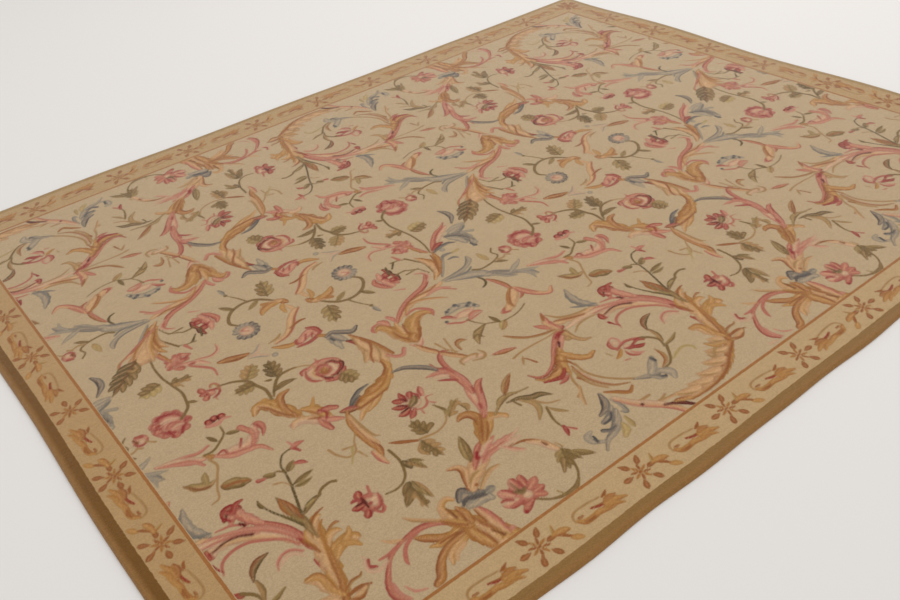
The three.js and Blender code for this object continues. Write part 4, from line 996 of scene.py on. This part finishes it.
ribbon("olive tan", (-28.6, -5.6, 1), (-27.4, -5, 1.6), (-26.4, -6, 1))
only = ""


# The ochre border carries stars, each followed by a gold sprig and a comma-shaped leaf. On
# every side they run from the corners to the star at the side's middle, which has no sprig.
# The star's sixth petal is the foot of its sprig.
STAR_PETALS = (  # the middle of each petal and the way it points
    (-2, 3.1, 2.15), (2, 3.1, 0.95), (-3.8, 0, 0), (-1.8, -3.3, 1.1), (2.1, -3.2, 2.1),
)
PETAL_HALF = 1.3
STAR_RAYS = 8
RAY = ((0.6, 0.4), (1.5, 0.7), (2.4, 0.3))  # how far out, and how wide
field_strokes = list(strokes)
strokes.clear()


def border_repeat(place, with_sprig):
    """One star, with its sprig and leaf. place turns (u, v) on the border into (x, y)."""
    def run(yarns, *points):
        ribbon(yarns, *((*place(u, v), width) for u, v, width in points))

    for u, v, lean in STAR_PETALS:
        du, dv = PETAL_HALF * math.cos(lean), PETAL_HALF * math.sin(lean)
        run("rust", (u - du, v - dv, 0.3), (u - 0.2 * du, v - 0.2 * dv, 1.5), (u + du, v + dv, 0.4))
    for ray in range(STAR_RAYS):
        turn = math.radians((ray + 0.5) * 360 / STAR_RAYS)
        c, s = math.cos(turn), math.sin(turn)
        run("rust" if ray % 2 else "amber", *((out * c, out * s, width) for out, width in RAY))
    run("rust", (-0.3, 0, 0.5), (0.3, 0, 0.5))
    if not with_sprig:
        return
    run("rust", (2.3, 0, 0.5), (3.2, 0.1, 1.3), (4.4, 0, 0.9))
    run("straw amber", (4, 0.1, 0.6), (4.7, 1.2, 0.9), (5.3, 2.5, 0.4))
    run("gold amber", (4.2, 0.2, 1), (5.6, 0, 1.8), (7, -0.3, 1.5), (7.9, -0.8, 0.5))
    run("rust", (5, -0.6, 0.5), (6.2, -1.6, 0.8), (7, -2.6, 0.6))
    run("gold", (6.7, -2.8, 0.8), (7.6, -3.3, 1.6), (8.5, -4, 0.9))
    run("tan", (9.8, -0.6, 0.4), (10.4, 1, 0.6), (12, 1.7, 0.6), (15, 1.6, 0.6), (18.4, 1.1, 0.5))
    run("gold amber", (10.4, -0.6, 0.9), (11.6, -1.7, 1.5), (13.6, -1.9, 1.5), (15.4, -1.8, 1.5),
        (17.2, -2.2, 1.5), (19.2, -2.9, 0.6))
    run("rust", (11.5, -1.7, 0.4), (13, -2.1, 0.8), (14.4, -1.8, 0.4))
    run("rust", (11.1, -0.1, 0.6), (12.2, -0.2, 0.6))
    run("rust crimson", (15, 0.1, 0.6), (16.6, -0.5, 0.8), (18.6, -0.8, 0.8))
    run("amber rust", (18, -0.9, 1), (19.8, -0.3, 1.6), (21.6, -0.5, 0.6))
    run("gold amber", (18.2, -1.4, 1.2), (20.6, -1.6, 1.6), (23, -2.5, 0.7))
    run("gold amber", (18, -1.9, 0.8), (20, -2.5, 1.2), (21.6, -3.5, 0.5))
    run("rust", (18.8, 0.7, 0.5), (19.8, 1, 0.8), (20.9, 1.6, 0.4))


BORDER_SIDES = (  # the side, its line, its stars along that line and the middle star's number
    ("near", -112.4, (-143.5, -113, -84.3, -54, -24.8, 3.2, 31, 60, 89, 117, 143.5), 5),
    ("far", 112.8, (-143.5, -115, -84, -56, -26.5, 1.8, 28, 58.5, 88, 116, 143.5), 5),
    ("left", -143.4, (-112.5, -86, -57.5, -31, -1, 29, 54, 84, 112.5), 4),
    ("right", 144, (-112.5, -80, -51, -26.5, 2, 30, 60, 87, 112.5), 4),
)
for side, line, stars, middle in BORDER_SIDES:
    inward = 1 if line < 0 else -1
    for number, star in enumerate(stars):
        onward = 1 if number < middle else -1
        if side in ("near", "far"):
            def place(u, v, star=star, onward=onward, line=line, inward=inward):
                return star + onward * u, line + inward * v
        else:
            def place(u, v, star=star, onward=onward, line=line, inward=inward):
                return line + inward * v, star + onward * u
        border_repeat(place, number != middle)
border_strokes = list(strokes)


# The rug is one wool cloth, knotted on a loom and about 10 mm thick, that lies on the floor. It
# is made here as six pieces that meet edge to edge, so that each can hold the pattern finely.
# Its edges waver, and its right and far sides lift off the floor in shallow ripples.
LENGTH = 3.042
WIDTH = 2.432
THICKNESS = 0.010
RIM_RADIUS = 0.007  # how the pile rolls over at the rim
WAVER_REACH = 0.150  # how far in from the rim the outline's waver fades out
RIPPLE_REACH = 0.190
BAND = 0.0385  # the edge band's width on the near and left sides
NEAR_DRAW = 0.006  # how far the near side's band is drawn in
NEAR_PUCKER = (0.25, 0.33, 0.05)  # the share by which that varies, its wavelength and a crest
WAVERS = {  # the side: (swing, length of the wave, place of a crest)
    "right": ((0.005, 1.000, 0.580),),
    "left": ((0.0025, 0.900, -0.410),),
    "far": ((0.003, 2.150, 1.200), (0.0025, 0.800, -0.120)),
    "near": ((0.0015, 0.500, -0.330), (0.0015, 1.900, -0.550)),
}
RIPPLES = {"right": (0.0055, 1.000, 0.580), "far": (0.0015, 1.075, -0.950)}


def wave(place, length, crest):
    """-1 to 1 along a wave, with 1 at its crest."""
    return np.cos(2 * np.pi * (place - crest) / length)


def fade(inset, reach):
    """1 at the rim, falling smoothly to 0 where the inset is the reach."""
    t = np.clip(1 - inset / reach, 0, 1)
    return t * t * (3 - 2 * t)


def waver(side, place, inset):
    """How far one side's outline stands out at a place along it."""
    swings = sum(swing * wave(place, length, crest) for swing, length, crest in WAVERS[side])
    return swings * fade(inset, WAVER_REACH)


def lift(x, y):
    """How far the cloth's underside is off the floor."""
    total = 0
    for side, place, inset in (("right", y, LENGTH / 2 - x), ("far", x, WIDTH / 2 - y)):
        height, length, crest = RIPPLES[side]
        total = total + height * (0.5 + 0.5 * wave(place, length, crest)) * fade(inset, RIPPLE_REACH)
    return total


def lying(x, y):
    """Where a place of the flat cloth comes to lie."""
    along = x + waver("right", y, LENGTH / 2 - x) - waver("left", y, x + LENGTH / 2)
    across = y + waver("far", x, WIDTH / 2 - y) - waver("near", x, y + WIDTH / 2)
    share, length, crest = NEAR_PUCKER
    across = across + NEAR_DRAW * (1 + share * wave(x, length, crest)) * fade(y + WIDTH / 2, BAND)
    return along, across


# The field repeats along the rug, and its far half is the near half turned by half a turn. No
# copy is exact, so each is set where the weaver's hand drifted to. The distances up to the
# painting of the yarns are in centimetres, and after that in metres.
REPEAT = 117.5
TURN_AT = -34.0  # what a place's x and its half-turned copy's x add up to
FIELD_HALF = (137.9, 106.5)
BORDER_FROM = (138.6, 107.2)


def drift_near(x, y):
    """The weaver's drift over the near half."""
    sideways = np.interp(x, (-140, -2, 0, 22, 72, 97, 127), (0, 0, 0.6, 0.6, -0.7, -1.0, -1.2))
    return x + sideways, y + np.interp(x, (-20, 20, 140), (0, -0.4, 1.9))


def drift_far(x, y):
    """The weaver's drift over the far half."""
    share = np.clip((np.abs(y) - 40) / 35, 0, 1)
    share = share * share * (3 - 2 * share)
    table = np.interp(x, (-120, -95, -70, 15, 40, 95, 130), (3, 2.7, 5, 5, 2.8, 3, 1.2))
    return x + share * table - 0.4 * (1 - share), y - 2.8 * (1 - (y / 107) ** 2)


placed = []
for points, left, right_side, tip, only in field_strokes:
    for copy in range(-2, 3):
        if only != "far":
            x, y = drift_near(points[:, 0] + REPEAT * copy, points[:, 1])
            placed.append((x, y, points[:, 2], left, right_side, tip, True))
        if only != "near":
            x, y = drift_far(TURN_AT - points[:, 0] + REPEAT * copy, -points[:, 1])
            placed.append((x, y, points[:, 2], left, right_side, tip, True))
for points, left, right_side, tip, only in border_strokes:
    placed.append((points[:, 0], points[:, 1], points[:, 2], left, right_side, tip, False))

REACH = 1.0  # how far round a stroke its edge is measured
FAR_OFF = 5.0  # the distance given to places with no stroke near
BROAD = 2.9  # the width above which a stroke is cut into lobes like an acanthus leaf
LOBED_RUN = 5  # the length above which it is
FRILL = 0.34  # the depth of the lobes, as a share of the half width
FRILL_STEP = 2.2  # from lobe to lobe, at least
FRILL_SHARE = 0.7  # from lobe to lobe, as a share of the width
LOBE_LEAN = 0.6  # how far the lobes' outer ends lean forwards
LOBE_STAGGER = 0.25  # each side's lobes are moved by this share of a step, one side each way


def measure(px, py, x, y, width, lobed):
    """How places lie to a stroke: the gap to its edge, the side (-1 to 1 across it), the way
    along it and the place on a lobe (0 to 1)."""
    best = np.full(px.shape, FAR_OFF)
    side = np.zeros(px.shape)
    along = np.zeros(px.shape)
    phase = np.zeros(px.shape)
    steps = np.hypot(np.diff(x), np.diff(y)) + 1e-6
    run = np.concatenate(((0,), np.cumsum(steps)))
    frill = FRILL if lobed else 0
    step_of_lobes = max(FRILL_STEP, FRILL_SHARE * width.max())
    for i, step in enumerate(steps):
        dx, dy = (x[i + 1] - x[i]) / step, (y[i + 1] - y[i]) / step
        t = np.clip((px - x[i]) * dx + (py - y[i]) * dy, 0, step)
        off_x, off_y = px - x[i] - t * dx, py - y[i] - t * dy
        half = 0.5 * (width[i] + t / step * (width[i + 1] - width[i]))
        where = np.sign(dx * off_y - dy * off_x)
        distance = np.hypot(off_x, off_y)
        lobe = ((run[i] + t - LOBE_LEAN * distance) / step_of_lobes + LOBE_STAGGER * where) % 1
        half = half * (1 + frill * lobe - frill)
        gap = distance - half
        near = gap < best
        best[near] = gap[near]
        side[near] = (where * distance / half)[near]
        along[near] = (run[i] + t)[near]
        phase[near] = lobe[near]
    return best, side, along, phase


SIDE_MELT = 0.8  # the share of the half width over which the left yarn turns into the right
TIP_FROM, TIP_OVER = 0.55, 0.35  # the shares of its length where the tip's yarn comes in
NARROW = 0.9  # the width above which a stroke is shaded from its middle to its edges
DEEP_OVER = 1.2  # how much wider it is when the shading is full
CROWN_LIGHT, EDGE_SHADE, VEIN_SHADE, NOTCH_SHADE = 0.16, 0.42, 0.13, 0.16
NOTCH_WIDTH = 0.16  # the notch between two lobes, as a share of a step
DEEPENING = (0.85, 1.05, 1.15)  # how fast red, green and blue deepen in a shaded yarn
PALE = 0.5  # how far the middle of a stroke is washed towards peach
PALE_TO = 0.75  # how far out that wash reaches, as a share of the half width
PALE_WAVER = 0.25  # by how much the veins move the wash's edge


def shaded(left, right_side, tip, widest, length, lobed, side, along, phase):
    """The colour of a stroke's wool at places on it."""
    across = np.clip(0.5 - side / SIDE_MELT, 0, 1)[..., None]
    colour = np.array(left) * (1 - across) + np.array(right_side) * across
    if tip:
        share = np.clip((along / length - TIP_FROM) / TIP_OVER, 0, 1)[..., None]
        colour = colour * (1 - share) + np.array(tip) * share
    if widest <= NARROW:
        return colour
    depth = min((widest - NARROW) / DEEP_OVER, 1)
    # the veins are a long wave that runs slantwise over the blade and a short one on top
    vein = np.sin(2 * np.pi * (1.3 * side + along / 7)) * 0.5 + np.sin(along * 2.1 + 5 * side) * 0.3
    notch = np.exp(-((phase / NOTCH_WIDTH) ** 2)) * np.clip(2 * np.abs(side), 0, 1) if lobed else 0
    tone = depth * (CROWN_LIGHT - EDGE_SHADE * side**2 + VEIN_SHADE * vein - NOTCH_SHADE * notch)
    wash = depth * PALE * np.clip(PALE_TO - np.abs(side) + PALE_WAVER * vein, 0, 1)[..., None]
    colour = colour * (1 - wash) + np.array(YARNS["peach"]) * wash
    return colour * np.exp(tone[..., None] * np.array(DEEPENING))


MELT = 0.5  # over how much a stroke's edge melts into a stroke that it covers


def paint(xs, ys):
    """The yarn, and the gap to the nearest motif's edge, for the crossings of xs and ys."""
    shape = (len(ys), len(xs))
    dye = np.empty((*shape, 3))
    dye[:] = YARNS["ground"]
    cover = np.full(shape, FAR_OFF)
    for x, y, width, left, right_side, tip, in_field in placed:
        margin = REACH + width.max() / 2
        low_x, high_x = np.searchsorted(xs, (x.min() - margin, x.max() + margin))
        low_y, high_y = np.searchsorted(ys, (y.min() - margin, y.max() + margin))
        if low_x >= high_x or low_y >= high_y:
            continue
        px, py = np.meshgrid(xs[low_x:high_x], ys[low_y:high_y])
        length = np.cumsum(np.hypot(np.diff(x), np.diff(y)) + 1e-6)[-1]
        lobed = width.max() > BROAD and length > LOBED_RUN
        best, side, along, phase = measure(px, py, x, y, width, lobed)
        colour = shaded(left, right_side, tip, width.max(), length, lobed, side, along, phase)
        window = (slice(low_y, high_y), slice(low_x, high_x))
        if in_field:
            allowed = (np.abs(px) < FIELD_HALF[0]) & (np.abs(py) < FIELD_HALF[1])
        else:
            allowed = (np.abs(px) > BORDER_FROM[0]) | (np.abs(py) > BORDER_FROM[1])
        before = cover[window]
        blend = np.where(before < 0, np.clip(0.5 - best / MELT, 0, 1), (best < before) & (best < REACH))
        blend = (blend * allowed)[..., None]
        dye[window] = dye[window] * (1 - blend) + colour * blend
        cover[window] = np.where(allowed, np.minimum(best, before), before)
    return dye, cover


# Each piece of the cloth is a grid with a crossing every 4 mm, closed by a wall and a plain
# underside. The yarns are painted on its crossings while it is flat, and then it is laid on
# the floor in the rug's outline and ripples.
CELL = 0.004
SEAMS_X = (-LENGTH / 2, -LENGTH / 6, LENGTH / 6, LENGTH / 2)
SEAMS_Y = (-WIDTH / 2, 0, WIDTH / 2)
UNDER_INSETS = (0, 0.100, 0.190)  # the rings of the underside, in from the rim


def flat_piece(x0, x1, y0, y1, count_x, count_y):
    """A closed piece of the cloth built flat: its pile at z = 1, its wall and its underside at z = 0."""
    west, east = x0 == SEAMS_X[0], x1 == SEAMS_X[-1]
    south, north = y0 == SEAMS_Y[0], y1 == SEAMS_Y[-1]
    bm = bmesh.new()
    bmesh.ops.create_grid(bm, x_segments=count_x, y_segments=count_y, size=1)
    for vert in bm.verts:
        vert.co = (x0 + (vert.co.x + 1) / 2 * (x1 - x0), y0 + (vert.co.y + 1) / 2 * (y1 - y0), 1)
    rim = [edge for edge in bm.edges if edge.is_boundary]
    for inset in UNDER_INSETS:
        ring = bmesh.ops.extrude_edge_only(bm, edges=rim)["geom"]
        rim = [part for part in ring if isinstance(part, bmesh.types.BMEdge)]
        for vert in (part for part in ring if isinstance(part, bmesh.types.BMVert)):
            vert.co.x = min(max(vert.co.x, x0 + inset * west), x1 - inset * east)
            vert.co.y = min(max(vert.co.y, y0 + inset * south), y1 - inset * north)
            vert.co.z = 0
    bmesh.ops.remove_doubles(bm, verts=bm.verts, dist=1e-5)
    bmesh.ops.triangle_fill(bm, edges=[edge for edge in bm.edges if edge.is_boundary], use_beauty=True)
    bmesh.ops.recalc_face_normals(bm, faces=bm.faces)
    for face in bm.faces:
        face.smooth = all(vert.co.z > 0.5 for vert in face.verts)
    for edge in bm.edges:
        edge.smooth = all(face.smooth for face in edge.link_faces)
    mesh = bpy.data.meshes.new("cloth")
    bm.to_mesh(mesh)
    bm.free()
    return mesh


def cloth_piece(name, x0, x1, y0, y1):
    """One piece of the cloth, dyed and laid on the floor."""
    count_x, count_y = round((x1 - x0) / CELL), round((y1 - y0) / CELL)
    mesh = flat_piece(x0, x1, y0, y1, count_x, count_y)
    flat = np.empty(3 * len(mesh.vertices))
    mesh.vertices.foreach_get("co", flat)
    x, y, is_top = flat.reshape(-1, 3).T

    xs, ys = np.linspace(x0, x1, count_x + 1), np.linspace(y0, y1, count_y + 1)
    dye, cover = paint(100 * xs, 100 * ys)
    column = np.rint((x - x0) / (x1 - x0) * count_x).astype(int)
    row = np.rint((y - y0) / (y1 - y0) * count_y).astype(int)
    colours = np.ones((len(x), 4))
    colours[:, :3] = dye[row, column]
    mesh.attributes.new("dye", "FLOAT_COLOR", "POINT").data.foreach_set("color", colours.ravel())
    distance = np.where(is_top > 0.5, cover[row, column], FAR_OFF)
    mesh.attributes.new("cover", "FLOAT", "POINT").data.foreach_set("value", distance)

    corners = np.empty(len(mesh.loops), int)
    mesh.loops.foreach_get("vertex_index", corners)
    mesh.uv_layers.new(name="cloth").data.foreach_set("uv", np.stack((x, y), -1)[corners].ravel())

    inset = np.minimum(LENGTH / 2 - np.abs(x), WIDTH / 2 - np.abs(y)).clip(0, RIM_RADIUS)
    pile = THICKNESS - RIM_RADIUS + np.sqrt(RIM_RADIUS**2 - (RIM_RADIUS - inset) ** 2)
    laid_x, laid_y = lying(x, y)
    mesh.vertices.foreach_set("co", np.stack((laid_x, laid_y, lift(x, y) + is_top * pile), -1).ravel())
    mesh.update()
    piece = bpy.data.objects.new(name, mesh)
    bpy.context.scene.collection.objects.link(piece)
    return piece


# The pile is clipped wool, matte and a little fuzzy. Each knot takes its yarn's colour with a
# little of its own shade. Border, guard line and edge bands follow the flat cloth's own
# measure in metres, and the motifs follow the yarns that are painted on its crossings.
class Node:
    """One output of a shader node, to be used in sums."""

    def __init__(self, socket):
        self.socket = socket

    def __add__(self, other):
        return maths("ADD", self, other)

    def __sub__(self, other):
        return maths("SUBTRACT", self, other)

    def __rsub__(self, other):
        return maths("SUBTRACT", other, self)

    def __mul__(self, other):
        return maths("MULTIPLY", self, other)

    def __truediv__(self, other):
        return maths("DIVIDE", self, other)

    def __abs__(self):
        return maths("ABSOLUTE", self)

    __radd__ = __add__


def shader_node(kind, settings=(), output=0, **inputs):
    """Adds a node, makes its settings and fills its sockets, by name or as _0, _1 and so on."""
    made = wool.node_tree.nodes.new(kind)
    for name, value in dict(settings).items():
        setattr(made, name, value)
    for name, value in inputs.items():
        socket = made.inputs[int(name[1:]) if name[0] == "_" else name.replace("_", " ")]
        if isinstance(value, Node):
            wool.node_tree.links.new(value.socket, socket)
        else:
            socket.default_value = value
    return Node(made.outputs[output])


def maths(operation, *terms):
    """A Math node on the terms, which are nodes or numbers."""
    sockets = {f"_{i}": term for i, term in enumerate(terms)}
    return shader_node("ShaderNodeMath", {"operation": operation}, **sockets)


def mix(share, a, b):
    """Colour a, or b where share is 1."""
    return shader_node("ShaderNodeMix", {"data_type": "RGBA"}, 2, _0=share, _6=a, _7=b)


def over(value, edge, softness):
    """0 below the edge and 1 above it, with a soft step between."""
    return maths("MINIMUM", maths("MAXIMUM", (value - edge) / softness + 0.5, 0.0), 1.0)


def noise(place, scale, detail=1.0):
    """Smooth noise about 0, from about -0.5 to 0.5."""
    return shader_node("ShaderNodeTexNoise", Vector=place, Scale=scale, Detail=detail) - 0.5


def rgba(name):
    """A yarn's colour as a socket takes it."""
    return (*YARNS[name], 1)


wool = bpy.data.materials.new("wool_pile")
wool.use_nodes = True
pile_shader = wool.node_tree.nodes["Principled BSDF"]
cloth = shader_node("ShaderNodeUVMap", {"uv_map": "cloth"})
u = shader_node("ShaderNodeSeparateXYZ", Vector=cloth)
v = Node(u.socket.node.outputs[1])

KNOT = 0.0028  # from knot to knot
ROWS = (9.0, 260.0, 1.0)  # the rows of knots run along the rug
knot = shader_node("ShaderNodeVectorMath", {"operation": "SNAP"}, _0=cloth, _1=(KNOT, KNOT, KNOT))
speck = shader_node("ShaderNodeTexWhiteNoise", {"noise_dimensions": "2D"}, Vector=knot) - 0.5
wander = noise(cloth, 70.0)
cover = shader_node("ShaderNodeAttribute", {"attribute_name": "cover"}, 2)
dye = shader_node("ShaderNodeAttribute", {"attribute_name": "dye"})
MOTIF_SOFT = 0.34  # cm, how soft a motif's edge is
in_motif = over(cover * -1 + speck * 0.16 + wander * 0.12, 0.0, MOTIF_SOFT)

GUARD = (1.3825, 1.0685)  # the guard line's distances from the centre
GUARD_HALF = 0.0040
FAR_BAND = 0.026  # the edge band's width on the far and right sides
# painted light: the band's outer tone is a painted highlight on the rolled rim
NEAR_SPLIT, LEFT_SPLIT = 0.019, 0.014  # how far in the band's outer tone ends
LEFT_TONE, NEAR_TONE = 0.15, 0.16  # how far in the left and near borders' own tones end
LINE_SOFT, GUARD_SOFT = 0.002, 0.0015  # how soft the edges of bands and guard line are
SPLIT_SOFT, TONE_SOFT = 0.012, 0.03
outside = maths("MAXIMUM", abs(u) - GUARD[0], abs(v) - GUARD[1]) + wander * 0.002
left_inset = LENGTH / 2 + u + wander * 0.004
near_inset = WIDTH / 2 + v + wander * 0.004
far_inset = maths("MINIMUM", LENGTH / 2 - u, WIDTH / 2 - v) + wander * 0.003
border = mix(over(left_inset, LEFT_TONE, TONE_SOFT), rgba("border left"), rgba("border"))
border = mix(over(near_inset, NEAR_TONE, TONE_SOFT), rgba("border near"), border)
colour = mix(over(outside, 0.0, LINE_SOFT), rgba("ground"), border)
colour = mix(over(GUARD_HALF - abs(outside), 0.0, GUARD_SOFT), colour, rgba("guard"))
colour = mix(in_motif, colour, dye)
# painted light: on the far and right sides the band is painted in a lighter tone
colour = mix(over(far_inset, FAR_BAND, LINE_SOFT), rgba("band far lit"), colour)
# painted light: the band's outer tone is a painted highlight on the rolled rim, and its inner tone is painted
# shade
band = mix(over(near_inset, NEAR_SPLIT, SPLIT_SOFT), rgba("band outer highlit"), rgba("band near"))
colour = mix(over(near_inset, BAND, LINE_SOFT), band, colour)
band = mix(over(left_inset, LEFT_SPLIT, SPLIT_SOFT), rgba("band outer highlit"), rgba("band inner"))
colour = mix(over(left_inset, BAND, LINE_SOFT), band, colour)

streak = noise(shader_node("ShaderNodeVectorMath", {"operation": "MULTIPLY"}, _0=cloth, _1=ROWS), 1.0)
mottle = noise(cloth, 22.0, 3.0)
grain = noise(cloth, 900.0, 2.0)
SPECK, STREAK, MOTTLE, GRAIN = 0.16, 0.10, 0.10, 0.20  # by how much each changes the shade
shade = 1 + speck * SPECK + streak * STREAK + mottle * MOTTLE + grain * GRAIN
colour = shader_node("ShaderNodeVectorMath", {"operation": "SCALE"}, _0=colour, Scale=shade)
wool.node_tree.links.new(colour.socket, pile_shader.inputs["Base Color"])
bump = shader_node("ShaderNodeBump", Strength=0.5, Distance=0.0015, Height=grain + speck * 0.6 + streak)
wool.node_tree.links.new(bump.socket, pile_shader.inputs["Normal"])
pile_shader.inputs["Roughness"].default_value = 0.92
pile_shader.inputs["Specular IOR Level"].default_value = 0.06
pile_shader.inputs["Sheen Weight"].default_value = 1.0
pile_shader.inputs["Sheen Roughness"].default_value = 0.3
pile_shader.inputs["Sheen Tint"].default_value = (1.0, 0.97, 0.93, 1)

for column in range(len(SEAMS_X) - 1):
    for row in range(len(SEAMS_Y) - 1):
        name = f"rug_{('near', 'far')[row]}_{('left', 'middle', 'right')[column]}"
        x0, x1, y0, y1 = SEAMS_X[column], SEAMS_X[column + 1], SEAMS_Y[row], SEAMS_Y[row + 1]
        piece = cloth_piece(name, x0, x1, y0, y1)
        piece.data.materials.append(wool)
        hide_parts("rug")
        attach(piece, "root")
